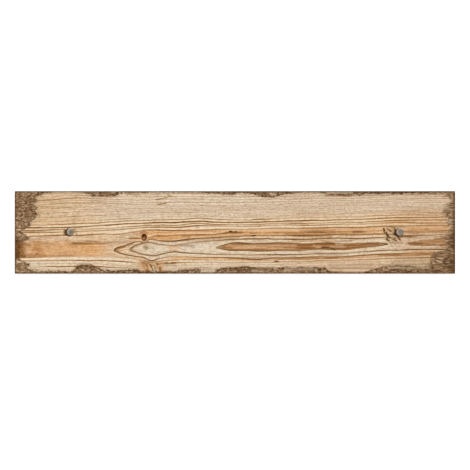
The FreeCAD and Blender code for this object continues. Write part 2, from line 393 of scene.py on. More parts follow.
BROWN_STROKES = [
    # the fan knot at the bottom edge
    (-182, -71.2, -151, -70.8, 2.4, 0.7), (-171, -54.2, -169, -60.7, 1.8, 0.35),
    (-165, -58.9, -164, -66.1, 2.2, 0.5), (-164, -51.0, -159, -57.1, 2.4, 0.6),
    (-162, -67.2, -155, -68.7, 1.6, 0.5), (-160, -61.4, -158, -65.1, 1.8, 0.6),
    (-158, -53.5, -154, -60.7, 1.8, 0.65), (-153, -57.8, -149, -64.3, 1.4, 0.8),
    (-151, -52.4, -145, -54.6, 1.4, 0.4), (-146, -60.0, -144, -64.3, 1.3, 0.6),
    (-144, -56.0, -136, -57.8, 1.4, 0.5), (-142, -71.2, -118, -70.5, 2.2, 0.6),
    (-141, -59.6, -140, -65.4, 1.3, 0.65), (-137, -62.5, -134, -70.5, 2.0, 0.8),
    # the rough rim
    (-398, -58.9, -384, -60.7, 5.8, 0.3), (-395, 49.5, -376, 36.9, 10.9, 0.3),
    (-362, 69.4, -351, 66.7, 1.8, 0.6), (-289, -62.2, -256, -64.3, 4.0, 0.65),
    (-100, -69.0, -64, -70.8, 2.9, 0.5), (-27, -65.4, 45, -64.3, 1.6, 0.6),
    (-5, -69.8, 36, -69.8, 4.7, 0.65), (45, -64.3, 165, -66.5, 1.6, 0.6),
    (115, -68.8, 144, -68.8, 3.6, 0.5), (129, 74.1, 209, 74.4, 0.9, 0.3),
    (213, 74.3, 400, 74.3, 2.4, 0.85), (260, -69.4, 322, -70.5, 4.3, 0.4),
    (302, -62.9, 345, -63.6, 1.4, 0.5), (356, -53.5, 357, -58.9, 2.2, 0.7),
    (356, -46.3, 359, -71.6, 2.5, 0.5), (365, -57.1, 385, -67.9, 4.0, 0.5),
    (384, -53.5, 395, -67.9, 6.5, 0.8), (384, 68.3, 398, 66.9, 2.9, 0.6),
    (386, -13.7, 387, -20.2, 2.5, 0.6), (395, -53.5, 398, -64.3, 8.3, 0.8),
    (395, -10.1, 395, -26.4, 6.2, 0.9),
    # the split knot and the wood beside the right-hand nail
    (271, 11.2, 289, 11.6, 1.6, 0.6), (304, -7.0, 329, -7.2, 1.3, 0.8), (309, 1.6, 322, -0.4, 2.2, 0.5),
    # the painted shadow on the right of the left-hand nail head
    (-291, 5.4, -288, -4.7, 2.0, 0.35),
    # the left orange band and its edges
    (-396, -17.3, -396, -45.4, 6.9, 0.9), (-393, -41.7, -344, -41.7, 2.4, 0.6),
    (-393, -35.4, -384, -42.6, 4.3, 0.6), (-391, -28.2, -385, -37.2, 4.7, 0.45),
    (-391, -19.2, -373, -22.8, 4.3, 0.6), (-389, -37.9, -373, -43.4, 2.9, 0.45),
    (-384, -26.4, -380, -35.4, 2.9, 0.3), (-373, -17.0, -342, -18.8, 2.9, 0.42),
    (-373, -16.3, -347, -18.1, 2.9, 0.3), (-367, -35.4, -358, -39.9, 2.5, 0.25),
    (-367, -31.8, -364, -39.0, 2.7, 0.3), (-365, -21.0, -318, -22.0, 1.6, 0.4),
    (-365, -21.0, -351, -21.7, 1.8, 0.45), (-362, -39.4, -356, -39.0, 1.6, 0.5),
    (-360, -24.6, -353, -39.0, 6.9, 0.42), (-358, -22.8, -351, -39.0, 6.2, 0.25),
    (-358, -21.0, -353, -39.0, 6.0, 0.4), (-347, -42.6, -291, -42.3, 1.3, 0.35),
    (-347, -24.6, -336, -28.2, 2.9, 0.22), (-342, -41.7, -296, -41.7, 1.4, 0.4),
    (-304, -14.6, -289, -24.6, 4.3, 0.35), (-298, -17.3, -295, -27.3, 2.9, 0.28),
    (-293, -19.9, -264, -20.6, 2.2, 0.9), (-285, -15.5, -238, -18.6, 2.4, 0.42),
    (-275, -18.4, -255, -19.5, 1.6, 0.4), (-267, -19.2, -236, -20.2, 2.9, 0.35),
    (-264, -20.6, -238, -21.0, 1.6, 0.6), (-245, -20.2, -224, -21.0, 1.3, 0.35),
    # round the peg hole and the tips of the arches
    (-238, -18.8, -184, -17.0, 2.9, 0.3), (-231, -43.4, -184, -48.1, 2.0, 0.14),
    (-224, -17.3, -211, -17.0, 1.3, 0.35), (-219, -33.2, -211, -36.9, 1.4, 0.5),
    (-219, -32.2, -211, -27.5, 1.6, 0.6), (-217, -32.9, -209, -36.5, 2.0, 0.7),
    (-217, -31.8, -211, -28.9, 2.2, 0.8), (-216, -9.2, -202, -8.7, 1.1, 0.5),
    (-216, -2.5, -195, -1.8, 1.3, 0.28), (-215, -29.3, -201, -26.0, 2.4, 0.8),
    (-209, -6.1, -184, -4.0, 1.3, 0.28), (-205, -26.4, -185, -19.9, 1.6, 0.7),
    (-201, -26.0, -184, -19.2, 1.8, 0.6), (-191, -11.2, -176, -11.2, 1.3, 0.6),
    (-189, -8.3, -171, -11.2, 2.2, 0.4), (-185, -1.1, -171, -5.4, 2.9, 0.3),
    (-174, -2.0, -166, 0.7, 1.4, 0.55), (-166, 0.7, -156, 0.0, 1.3, 0.5),
    (-155, -13.0, -136, -15.5, 1.4, 0.4), (-147, -16.6, -107, -18.4, 1.8, 0.35),
    (-147, -6.0, -127, -6.0, 1.6, 0.3), (-136, -15.5, -89, -15.2, 1.6, 0.5),
    # the tongue
    (-24, -28.2, -7, -29.1, 3.6, 0.45), (-13, -31.8, 118, -32.3, 2.5, 0.5),
    (-5, -21.0, 118, -20.6, 2.4, 0.5), (89, -27.5, 115, -27.5, 2.4, 0.4),
    (116, -24.0, 133, -25.2, 3.4, 0.5), (120, -28.4, 144, -28.8, 2.0, 0.5),
    (124, -21.6, 140, -22.4, 2.2, 0.5), (127, -25.2, 137, -24.6, 2.6, 0.4),
    (134, -26.4, 148, -26.8, 1.4, 0.25), (140, -30.9, 209, -30.0, 2.2, 0.6),
    (147, -21.0, 180, -20.6, 2.5, 0.95), (158, -27.8, 180, -30.0, 2.4, 0.9),
    (197, -22.0, 205, -23.4, 1.8, 0.35), (202, -21.0, 206, -29.1, 1.8, 0.4),
    (206, -22.8, 260, -21.0, 4.2, 0.4), (213, -27.3, 256, -25.1, 2.5, 0.5),
    # inside the arches, left of the tongue
    (-105, -22.0, -75, -25.3, 2.2, 0.35),
    # the right end, between the rings
    (282, -19.2, 304, -19.2, 2.2, 0.55), (300, -41.7, 362, -39.9, 2.7, 0.4),
    (315, -19.2, 338, -19.2, 2.2, 0.75), (315, -4.7, 345, -4.0, 1.4, 0.35),
    (315, 1.6, 391, 2.5, 3.3, 0.35), (316, -20.2, 340, -20.6, 2.0, 0.85), (318, -0.2, 391, -0.2, 1.1, 0.5),
    (322, -30.9, 391, -30.7, 1.1, 0.5), (322, -1.1, 333, -2.2, 1.8, 0.4),
    (336, -40.5, 358, -40.8, 2.2, 0.35), (336, -37.9, 353, -39.8, 2.3, 0.55),
    (336, -18.4, 384, -15.5, 4.0, 0.6), (336, -17.0, 384, -13.7, 2.2, 0.55),
    (344, -20.1, 385, -18.3, 2.2, 0.4), (353, -15.5, 367, -15.5, 2.2, 0.5),
    (365, -14.6, 400, -15.5, 6.5, 0.6), (373, -8.3, 400, -6.5, 2.9, 0.5),
    # the arches above the tongue
    (-144, -17.0, 2, -15.2, 1.4, 0.3), (-96, -14.5, 5, -8.0, 4.0, 0.28), (-96, -6.5, -82, -7.6, 2.5, 0.5),
    (-96, -5.1, -35, -4.7, 1.4, 0.6), (-95, -7.0, -85, -7.0, 1.8, 0.7), (-89, -14.8, -16, -9.4, 1.4, 0.4),
    (-82, -4.7, -36, -4.3, 1.6, 0.45), (-35, -3.8, -13, -0.7, 1.8, 0.6), (-16, -0.4, 11, -0.4, 2.0, 0.9),
    (-11, -7.0, 38, -6.9, 1.3, 0.6), (-4, -18.8, 118, -18.4, 1.4, 0.4), (27, -16.3, 100, -17.3, 1.4, 0.3),
    (27, -1.6, 40, -1.6, 1.3, 0.6), (71, -1.1, 80, -0.4, 1.6, 0.5), (82, -1.1, 111, -4.0, 2.2, 0.25),
    (93, -1.1, 111, -1.4, 1.8, 0.5), (100, -5.8, 176, -8.3, 2.2, 0.4), (104, -14.8, 165, -15.5, 1.8, 0.35),
    (104, -4.7, 173, -5.4, 2.2, 0.45), (111, -2.9, 173, -4.7, 2.5, 0.35),
    (118, -14.5, 165, -14.8, 1.8, 0.3), (118, 2.5, 140, 0.0, 1.6, 0.3), (118, 2.5, 180, 1.6, 2.9, 0.4),
    (133, 0.2, 165, -0.2, 1.8, 0.65), (136, 1.1, 162, 1.1, 2.0, 0.6), (156, -14.8, 173, -16.3, 2.9, 0.3),
    (158, -15.5, 176, -18.1, 1.8, 0.6), (164, -2.0, 200, -1.4, 1.4, 0.2),
    (184, -16.3, 211, -16.3, 2.2, 0.45), (209, -4.7, 271, -2.9, 1.4, 0.45),
    (215, 0.7, 231, 1.1, 2.4, 0.75), (216, 1.6, 231, 1.6, 2.2, 0.6),
    # the arches below the tongue
    (-73, -44.8, 9, -45.5, 1.3, 0.3), (-53, -45.0, 49, -45.2, 1.1, 0.6), (-11, -46.3, 27, -46.6, 2.4, 0.5),
    (29, -48.6, 49, -48.6, 1.4, 0.8), (49, -45.2, 173, -44.5, 1.1, 0.55),
    (64, -46.3, 151, -46.3, 2.4, 0.45), (118, -35.8, 205, -36.9, 2.0, 0.25),
    (151, -40.8, 195, -42.6, 2.5, 0.3), (165, -45.5, 185, -45.9, 2.3, 0.55),
    (165, -45.4, 184, -45.4, 2.5, 0.7), (165, -43.7, 216, -43.0, 1.1, 0.5),
    (200, -44.1, 213, -44.5, 1.6, 0.35), (260, -40.5, 296, -41.6, 2.0, 0.6),
    (264, -41.7, 300, -41.7, 2.5, 0.45),
    # the wood above the arches and the left band
    (-369, 60.4, -307, 56.7, 3.3, 0.18), (-362, 46.8, -315, 45.9, 2.2, 0.3),
    (-361, 34.0, -355, 29.6, 2.4, 0.5), (-358, 35.1, -307, 32.3, 4.3, 0.22),
    (-349, 71.9, -331, 71.6, 2.7, 0.4), (-336, 52.9, -260, 52.9, 0.9, 0.4),
    (-318, 28.2, -200, 30.5, 0.9, 0.25), (-315, 45.9, -289, 44.1, 1.4, 0.3),
    (-260, 65.8, -224, 64.0, 2.2, 0.25), (-195, 69.8, -173, 66.9, 2.7, 0.4),
    (107, 62.2, 140, 63.6, 1.8, 0.3), (165, 67.0, 211, 66.1, 1.8, 0.75),
    # the wood along the bottom edge
    (-62, -62.9, -44, -67.2, 2.4, 0.4), (171, -64.3, 213, -67.2, 3.6, 0.25),
    (173, -65.8, 249, -65.4, 1.6, 0.55), (176, -72.6, 249, -72.6, 1.8, 0.6),
    (213, -65.1, 249, -66.9, 3.6, 0.25),
]
CREAM_STROKES = [
    # the fan knot at the bottom edge
    (-173, -53.5, -172, -53.5, 0.9, 0.1),
    # the rough rim
    (-318, -63.6, -191, -63.6, 1.4, 0.5), (187, 71.9, 202, 71.6, 1.4, 0.7),
    # the left orange band and its edges
    (-387, -47.0, -224, -47.3, 2.3, 0.85), (-355, -48.1, -213, -48.4, 2.4, 0.9),
    # round the peg hole and the tips of the arches
    (-171, -27.3, -167, -28.2, 1.8, 0.7), (-155, -29.3, -144, -29.6, 1.4, 0.6),
    # the tongue
    (-5, -26.4, 31, -28.9, 2.2, 0.35), (56, -26.4, 82, -25.7, 2.2, 0.3), (60, -27.1, 84, -27.5, 2.2, 0.45),
    (150, -26.0, 156, -25.3, 1.6, 0.5), (156, -24.6, 176, -24.6, 1.3, 0.35),
    (161, -24.2, 164, -23.9, 1.3, 0.6), (174, -24.2, 177, -24.0, 1.3, 0.6),
    (184, -24.9, 190, -25.7, 3.4, 0.4),
    # inside the arches, left of the tongue
    (-71, -26.4, -38, -28.2, 4.7, 0.5),
    # the right end, between the rings
    (325, -34.7, 369, -34.3, 2.4, 0.5),
    # the arches above the tongue
    (32, -3.6, 34, -3.4, 1.1, 1.0),
    # the arches below the tongue
    (-13, -36.7, 173, -36.7, 1.8, 0.6),
    # the wood above the arches and the left band
    (-365, 11.0, -300, 11.0, 1.4, 0.6), (-362, 6.1, -307, 6.1, 1.4, 0.6),
    (-362, 29.1, -318, 29.1, 1.4, 0.7), (-347, 11.6, -291, 13.4, 1.4, 0.8),
    (-291, 13.4, -235, 16.6, 1.4, 0.8), (-164, 6.9, -64, 6.9, 1.4, 0.6), (-56, 66.7, -27, 67.6, 2.2, 0.5),
    (2, 9.2, 75, 9.0, 1.3, 0.6), (136, 10.8, 218, 10.8, 1.3, 0.5), (145, 71.9, 162, 71.6, 1.6, 0.8),
    # the wood along the bottom edge
    (-355, -52.8, -191, -53.5, 1.8, 0.6), (-293, -53.5, -260, -54.2, 2.2, 0.8),
    (-231, -54.6, -180, -56.4, 1.4, 0.6), (173, -65.2, 249, -67.9, 3.6, 0.5),
]
LIGHT_STROKES = [
    # the fan knot at the bottom edge
    (-163, -61.4, -161, -64.3, 1.1, 0.5), (-157, -57.8, -155, -61.8, 0.9, 0.4),
    (-156, -63.2, -154, -66.9, 0.9, 0.5), (-153, -66.9, -150, -71.6, 0.9, 0.6),
    (-150, -62.5, -146, -69.0, 0.9, 0.9), (-149, -69.0, -145, -73.4, 0.7, 0.6),
    (-148, -63.2, -145, -68.3, 0.9, 0.8), (-147, -54.2, -143, -60.7, 1.6, 0.35),
    (-144, -66.1, -141, -70.5, 0.7, 0.7), (-141, -64.0, -140, -68.7, 0.9, 0.5),
    (-139, -60.4, -138, -62.9, 1.1, 0.6),
    # the rough rim
    (-396, -53.1, -390, -53.8, 1.8, 0.8), (-387, -57.1, -384, -57.8, 1.1, 0.5),
    (-60, -69.8, -38, -69.8, 3.1, 0.7), (31, -69.8, 40, -69.0, 2.4, 0.4), (64, 69.4, 75, 68.3, 1.4, 0.5),
    (91, -68.7, 100, -69.8, 1.6, 0.4), (93, -65.8, 147, -66.9, 2.5, 0.3), (169, 71.6, 213, 71.9, 1.4, 0.5),
    (278, -63.6, 351, -64.7, 2.2, 0.28), (367, -51.7, 375, -54.6, 1.6, 0.4),
    (384, -54.2, 389, -54.6, 1.3, 0.4), (385, 23.1, 396, 22.8, 1.1, 0.45),
    (387, 17.7, 396, 17.3, 0.9, 0.45), (389, 9.8, 395, 9.8, 0.9, 0.4), (389, 22.4, 395, 17.0, 1.8, 0.35),
    (389, 42.3, 396, 41.9, 1.1, 0.4), (394, 67.6, 396, 58.5, 1.8, 0.4),
    # the split knot and the wood beside the right-hand nail
    (273, 9.8, 278, -2.2, 1.3, 0.4),
    # the left orange band and its edges
    (-347, -47.3, -209, -48.1, 1.4, 0.4),
    # round the peg hole and the tips of the arches
    (-245, 0.4, -176, 4.3, 2.2, 0.5), (-238, -2.2, -195, 0.7, 2.2, 0.3),
    (-200, -32.9, -195, -34.3, 1.3, 0.5), (-184, -20.2, -176, -17.7, 1.1, 0.5),
    (-172, -14.8, -169, -17.3, 0.9, 0.4), (-162, -15.9, -159, -13.7, 1.1, 0.5),
    # the tongue
    (173, -25.7, 196, -26.0, 1.8, 0.25),
    # the right end, between the rings
    (307, 10.5, 373, 10.8, 1.8, 0.2),
    # the arches above the tongue
    (-45, -15.9, 118, -16.3, 1.3, 0.28), (151, -15.5, 176, -15.9, 1.6, 0.16),
    # the arches below the tongue
    (-118, -42.6, 9, -43.4, 1.4, 0.35),
    # the wood above the arches and the left band
    (-362, 1.8, -315, 1.8, 1.4, 0.3), (-362, 5.8, -315, 6.9, 1.3, 0.4), (-351, 9.9, -296, 11.2, 1.4, 0.45),
    (-340, 11.2, -238, 13.0, 1.8, 0.4), (-311, 13.0, -264, 15.2, 1.1, 0.35),
    (-296, 11.6, -249, 13.9, 1.3, 0.4), (-289, 5.8, -231, 10.8, 1.4, 0.5),
    (-282, 3.6, -238, 5.1, 2.2, 0.3), (-253, -6.5, -224, -4.0, 2.9, 0.3),
    (-245, 15.5, -173, 19.2, 1.6, 0.5), (-238, 8.7, -169, 14.5, 2.2, 0.32),
    (-238, 9.8, -180, 13.4, 1.6, 0.5), (-64, 10.5, 2, 10.8, 1.4, 0.35), (38, 4.3, 118, 4.3, 2.5, 0.26),
    (49, 4.3, 118, 5.4, 2.2, 0.3), (49, 4.7, 118, 5.8, 1.6, 0.35), (49, 11.6, 118, 12.3, 1.4, 0.35),
    (176, 6.9, 202, 6.9, 1.8, 0.35), (285, 67.6, 300, 67.6, 1.1, 0.3),
    # the wood along the bottom edge
    (198, -69.4, 242, -69.0, 2.2, 0.4),
]
GREY_STROKES = [
    # the fan knot at the bottom edge
    (-187, -57.1, -175, -60.0, 2.5, 0.4), (-171, -55.3, -135, -60.7, 6.2, 0.3),
    (-129, -58.9, -111, -59.6, 2.9, 0.5),
    # the split knot and the wood beside the right-hand nail
    (273, -10.1, 291, -13.7, 3.2, 0.45), (273, 6.1, 280, -11.9, 7.6, 0.3),
    (288, 8.0, 288, -13.7, 5.4, 0.6), (291, 12.5, 307, 12.8, 1.4, 0.6),
    # the wood beside the left-hand nail
    (-291, 6.1, -287, -5.4, 2.9, 0.5),
    # the left orange band and its edges
    (-376, -13.0, -345, -12.3, 1.3, 0.5),
    # round the peg hole and the tips of the arches
    (-190, -28.2, -189, -34.7, 2.2, 0.6), (-187, -25.3, -176, -21.7, 1.4, 0.4),
    (-163, -26.4, -160, -28.2, 4.3, 1.0), (-158, -28.7, -147, -29.6, 2.2, 0.35),
    # the tongue
    (-32, -28.2, -25, -28.2, 1.8, 0.6),
    # the right end, between the rings
    (307, -28.2, 365, -27.1, 2.0, 0.25), (365, -27.5, 384, -27.5, 3.3, 0.5),
    # the wood along the bottom edge
    (-387, -67.2, -356, -67.8, 1.4, 0.5), (173, -59.6, 249, -58.9, 4.0, 0.35),
    (261, -56.4, 266, -56.7, 1.1, 0.5), (266, -56.7, 268, -60.7, 1.1, 0.6),
    (290, -55.5, 351, -55.5, 7.5, 0.38),
]

# The strokes over the broad stains between the rings
orange_stain = brushed(ORANGE_STROKES) + sum([
    stain(-392, -242, -4.1, 4.15, 0.85, run_out=28.0, bleed=0.25),
    stain(-178, 262, 3.1, 4.95, 1.0, run_out=24.0),
    stain(-262, -170, -4.1, 5.6, 0.3, run_out=30.0),
    stain(262, 285, 3.1, 4.9, 0.35, run_out=14.0),
    stain(-400, -245, 4.2, 10.5, 0.3, run_out=40.0),
    stain(-400, -240, 10.0, 22.0, 0.14, run_out=60.0),
    stain(-35, 285, -1.0, 1.0, 0.80, run_out=4.0, bleed=0.15),
    stain(-120, 410, -4.0, -3.0, 0.85),
    stain(270, 410, 3.2, 8.3, 0.48, run_out=40.0),
    stain(270, 410, 8.0, 12.0, 0.15, run_out=40.0),
    stain(300, 410, -4.0, 2.0, 0.22, run_out=25.0),
    stain(60, 410, 5.0, 12.0, 0.20, run_out=60.0),
    stain(-60, 290, 1.9, 3.1, 0.35, run_out=30.0),
    stain(100, 410, -10.0, -4.0, 0.22, run_out=60.0),
    stain(-178, -128, -9.0, -3.9, 0.50, run_out=10.0),
])
# Brown stains, and one stroke of painted shadow beside the left-hand nail head
brown_stain_and_shade = brushed(BROWN_STROKES) + sum([
    stain(-410, -384, -4.2, 4.2, 0.85, run_out=8.0),
    stain(100, 250, 3.2, 4.8, 0.18, run_out=40.0),
    stain(-30, 280, -1.0, 1.0, 0.30, run_out=4.0, bleed=0.15),
    stain(113, 142, -1.0, 1.0, 0.36, run_out=9.0, bleed=0.15),
    stain(158, 280, -1.0, 1.0, 0.38, run_out=8.0, bleed=0.15),
    stain(100, 410, -4.0, -3.0, 0.20, run_out=30.0),
    stain(300, 410, -10.0, 12.0, 0.16, run_out=30.0),
    stain(40, 410, 9.0, 22.0, 0.07, run_out=60.0),
    stain(100, 410, -10.0, -4.0, 0.10, run_out=60.0),
])
bleached = brushed(CREAM_STROKES) + sum([
    stain(-190, -122, -2.0, 2.0, 0.85, bleed=0.2),
    stain(-105, -40, -2.0, 2.0, 0.60),
    stain(-215, 60, -3.0, -2.0, 0.45),
    stain(-120, 260, 2.0, 3.0, 0.20),
    stain(-400, -110, -8.0, -4.1, 0.6),
    stain(-240, 330, 5.5, 20.0, 0.45, run_out=60.0),
    stain(-110, 60, -9.0, -5.0, 0.75, run_out=30.0),
    stain(-110, 150, 5.2, 9.5, 0.35, run_out=50.0),
    stain(-255, -150, 4.5, 11.5, 0.7, run_out=35.0),
    stain(35, 135, 5.2, 8.0, 0.35, run_out=25.0),
    stain(60, 380, -9.0, -5.5, 0.35, run_out=30.0),
])
grey_smudge = brushed(GREY_STROKES)
light_mark = brushed(LIGHT_STROKES)

# The rough rim
# The board's outer skin shows all round the edge as a ragged grey-brown rim, a little lower than the planed
# face. Its reach in from each edge is drawn from one corner to the next.
RIM_REACH_LEFT = [(-75, 24), (-68, 24), (-64, 23), (-60, 27), (-57, 26), (-53, 18), (-50, 11), (-47, 6),
                  (-44, -6), (-32, -6), (-21, -6), (-17, 14), (-14, 24), (-10, 26), (-7, 23), (-3, 15),
                  (1, 12), (4, 14), (8, 24), (12, 27), (19, 28), (22, 30), (26, 38), (33, 41), (40, 39),
                  (51, 37), (55, 39), (62, 40), (66, 41), (70, 47), (75, 50)]
RIM_REACH_RIGHT = [(-75, 48), (-68, 48), (-61, 46), (-57, 46), (-53, 44), (-46, 42), (-39, 38), (-36, 36),
                   (-33, 20), (-28, 14), (-23, 14), (-18, 17), (-12, 17), (-6, 11), (1, 8), (8, 10),
                   (15, 14), (22, 15), (30, 20), (37, 20), (44, 18), (48, 14), (51, 12), (55, 9), (59, 7),
                   (62, 9), (65, 15), (70, 18), (73, 10), (75, 6)]
RIM_REACH_TOP = [(-400, 11), (-362, 11), (-351, 5), (-340, 3), (-329, 2), (-296, 2), (-275, 3), (-264, 6),
                 (-258, 9), (-220, 9), (-209, 4), (-198, 3), (-187, 3), (-176, 3), (-165, 3), (-155, 2),
                 (-67, 2), (-56, 4), (-35, 4), (-9, 7), (2, 5), (11, 3), (22, 4), (31, 6), (42, 8),
                 (51, 11), (67, 11), (80, 8), (91, 5), (104, 5), (113, 3), (124, 2), (151, 2), (160, 4),
                 (173, 7), (205, 8), (218, 7), (244, 6), (260, 6), (275, 5), (347, 5), (369, 5), (380, 6),
                 (400, 5)]
RIM_REACH_BOTTOM = [(-400, 13), (-384, 13), (-373, 7), (-362, 5), (-340, 5), (-318, 4), (-300, 4),
                    (-292, 7), (-286, 15), (-275, 17), (-264, 16), (-253, 12), (-242, 8), (-231, 7),
                    (-209, 6), (-187, 8), (-176, 8), (-172, 4), (-140, 3), (-133, 4), (-120, 5), (-111, 6),
                    (-95, 8), (-78, 9), (-67, 9), (-58, 7), (-51, 7), (-44, 8), (-35, 8), (-13, 10),
                    (9, 13), (25, 13), (31, 11), (53, 10), (75, 9), (91, 10), (107, 12), (129, 13),
                    (145, 12), (165, 10), (171, 5), (180, 3), (200, 1), (232, 1), (242, 4), (251, 9),
                    (262, 12), (282, 14), (315, 14), (333, 12), (351, 13), (358, 21), (400, 21)]


def reach(drawn, place):
    """How far in the rim reaches at each place along an edge."""
    return np.interp(place, *np.array(drawn, float).T)


rim_reach = np.maximum.reduce([
    reach(RIM_REACH_LEFT, net_y) * (net_x < -HALF_LENGTH / 2),
    reach(RIM_REACH_RIGHT, net_y) * (net_x > HALF_LENGTH / 2),
    reach(RIM_REACH_TOP, net_x) * (net_y > HALF_WIDTH / 2),
    reach(RIM_REACH_BOTTOM, net_x) * (net_y < -HALF_WIDTH / 2),
])
rim_depth = np.maximum.reduce([
    reach(RIM_REACH_LEFT, net_y) - (net_x + HALF_LENGTH),
    reach(RIM_REACH_RIGHT, net_y) - (HALF_LENGTH - net_x),
    reach(RIM_REACH_TOP, net_x) - (HALF_WIDTH - net_y),
    reach(RIM_REACH_BOTTOM, net_x) - (net_y + HALF_WIDTH),
])

# The cracks and chips, and painted shadows by the nail heads
# Short dark marks in the knots, the rim, the rings and the wood between them, printed nearly black, and a few
# of painted shadow round the nail heads. They are sunk into the glaze, the darkest of them deepest.
UMBER_STROKES = [
    # the fan knot at the bottom edge
    (-175, -72.6, -158, -73.0, 1.6, 0.7), (-168, -54.2, -164, -56.4, 1.4, 0.6),
    (-162, -60.0, -159, -64.0, 1.3, 0.6), (-162, -57.8, -160, -60.0, 1.1, 0.5),
    (-161, -69.4, -154, -71.6, 1.6, 0.8), (-159, -70.8, -155, -72.3, 1.4, 0.95),
    (-155, -58.9, -152, -63.2, 1.3, 0.55), (-155, -57.8, -152, -62.5, 1.3, 0.6),
    (-153, -71.9, -140, -72.5, 1.6, 0.5), (-152, -61.1, -148, -69.8, 1.1, 0.9),
    (-151, -68.7, -146, -72.6, 1.1, 0.8), (-148, -64.3, -145, -68.3, 1.1, 0.95),
    (-146, -64.7, -142, -73.0, 1.3, 1), (-143, -69.8, -142, -74.1, 1.6, 1),
    (-143, -56.7, -140, -58.2, 1.3, 0.8), (-142, -61.4, -141, -65.1, 0.9, 0.6),
    (-140, -73.0, -118, -73.0, 1.4, 0.6), (-138, -66.9, -135, -69.4, 1.4, 0.5),
    (-137, -62.5, -136, -67.2, 1.1, 0.6), (-136, -65.4, -134, -69.0, 1.3, 0.5),
    (-136, -55.8, -104, -54.9, 0.9, 0.5), (-127, -55.7, -123, -55.3, 1.3, 0.75),
    (-115, -55.3, -109, -54.9, 1.4, 0.8),
    # the rough rim
    (356, -55.3, 360, -58.9, 1.8, 0.7), (375, -56.0, 384, -57.8, 1.4, 0.5),
    (382, -14.5, 393, -16.6, 2.2, 0.5), (384, -63.2, 395, -66.9, 2.2, 0.55),
    (384, -11.9, 391, -20.2, 2.5, 0.6), (385, -56.4, 396, -58.2, 2.0, 0.6),
    (389, -69.0, 396, -69.8, 1.8, 0.5),
    # the split knot and the wood beside the right-hand nail, with painted shadow under that nail head
    (270, 6.5, 271, 3.8, 1.8, 0.95), (271, 1.1, 272, -0.7, 1.6, 0.7), (273, 11.9, 275, 10.8, 1.3, 0.5),
    (275, -0.7, 277, -5.8, 2.2, 1), (275, 6.9, 278, 5.1, 1.4, 0.65), (277, -14.1, 280, -15.4, 1.6, 0.8),
    (277, -10.1, 275, -13.4, 1.6, 0.85), (277, -6.1, 281, -9.4, 1.8, 0.9), (280, 5.1, 283, 1.8, 1.6, 0.75),
    (281, -9.0, 285, -10.8, 1.6, 0.4), (283, 11.9, 286, 10.1, 1.3, 0.5),
    (287, -12.3, 293, -15.2, 1.6, 0.7), (288, -1.8, 291, -4.3, 1.8, 0.8), (289, 5.1, 290, 1.8, 1.4, 0.6),
    (289, 8.7, 291, 6.1, 1.4, 0.7), (290, -9.4, 291, -11.2, 1.4, 0.6), (290, 1.4, 292, 2.5, 1.4, 0.7),
    # the first stroke on this line is painted shadow under the right-hand nail head
    (295, -7.6, 304, -8.1, 1.6, 0.7), (296, -9.4, 300, -13.7, 1.8, 0.75),
    (304, -7.4, 322, -8.3, 1.3, 0.65),
    # the painted shadow crescent on the left of the left-hand nail head
    (-310, 4.3, -310, -3.6, 1.4, 0.55),
    # the left orange band and its edges
    (-397, -30.0, -395, -35.4, 5.8, 0.7), (-395, -20.2, -393, -26.4, 6.2, 0.72),
    (-394, -37.9, -396, -44.5, 6.9, 0.75), (-393, -21.0, -389, -28.2, 2.2, 0.5),
    (-391, -41.6, -382, -44.1, 2.2, 0.6), (-389, -22.8, -386, -27.1, 2.2, 0.55),
    (-361, -39.0, -358, -39.0, 1.3, 0.6), (-287, -20.2, -258, -21.0, 1.4, 0.35),
    (-269, -15.9, -249, -16.6, 1.6, 0.3),
    # round the peg hole and the tips of the arches
    (-200, -40.1, -196, -40.5, 1.3, 0.5), (-170, -18.1, -168, -17.7, 1.4, 0.6),
    (-160, -16.1, -159, -15.7, 1.4, 0.6),
    # the tongue
    (151, -20.2, 180, -20.4, 1.4, 0.6), (158, -27.1, 173, -27.5, 1.6, 0.75),
    (159, -27.1, 174, -27.1, 1.4, 0.7), (165, -18.8, 178, -19.5, 1.4, 0.55),
    (172, -21.3, 179, -20.1, 1.3, 0.7), (173, -28.2, 181, -31.1, 1.6, 0.8),
    (174, -28.2, 180, -31.1, 1.6, 0.7), (189, -30.7, 196, -30.5, 0.9, 0.4),
    (200, -30.4, 206, -30.0, 1.4, 0.6), (200, -22.0, 203, -24.6, 1.3, 0.35),
    (203, -27.5, 202, -30.0, 1.3, 0.45),
    # the right end, between the rings
    (323, -20.2, 334, -20.6, 2.4, 0.55), (373, -23.9, 387, -21.7, 2.2, 0.5),
    (376, -27.5, 391, -26.7, 1.4, 0.35),
    # the arches above the tongue
    (-95, -14.3, -85, -13.7, 1.4, 0.5), (-22, -1.8, -9, 0.4, 1.4, 0.5), (-10, 1.4, -6, 1.4, 1.8, 0.9),
    (-7, 0.2, 4, 0.7, 1.4, 0.7), (0, 0.9, 2, 0.7, 1.6, 0.9), (4, 0.7, 15, -0.4, 1.3, 0.4),
    (27, -1.8, 38, -1.4, 0.9, 0.5), (30, -6.3, 37, -5.6, 1.4, 0.95), (100, -12.5, 113, -12.5, 1.1, 0.75),
    (104, -12.6, 110, -12.6, 1.4, 0.75), (129, -12.6, 149, -12.6, 1.3, 0.5),
    # the arches below the tongue
    (29, -49.0, 49, -49.0, 1.1, 0.6),
    # the wood above the arches and the left band
    (-151, 42.3, -149, 42.3, 0.9, 0.3), (-144, 59.3, -133, 61.1, 1.4, 0.5),
    (-140, 50.2, -126, 52.8, 1.4, 0.5), (-133, 61.1, -124, 63.2, 1.3, 0.45),
    (-131, 36.9, -129, 36.9, 1.1, 0.4), (-122, 67.6, -114, 65.1, 1.4, 0.45),
    (-104, 32.3, -102, 32.3, 1.1, 0.35), (-71, 40.5, -69, 40.5, 0.9, 0.3),
    (-61, 49.2, -59, 49.3, 1.4, 0.5),
    # the wood along the bottom edge
    (73, -52.8, 78, -52.6, 1.4, 0.65),
]
umber_mark = brushed(UMBER_STROKES)

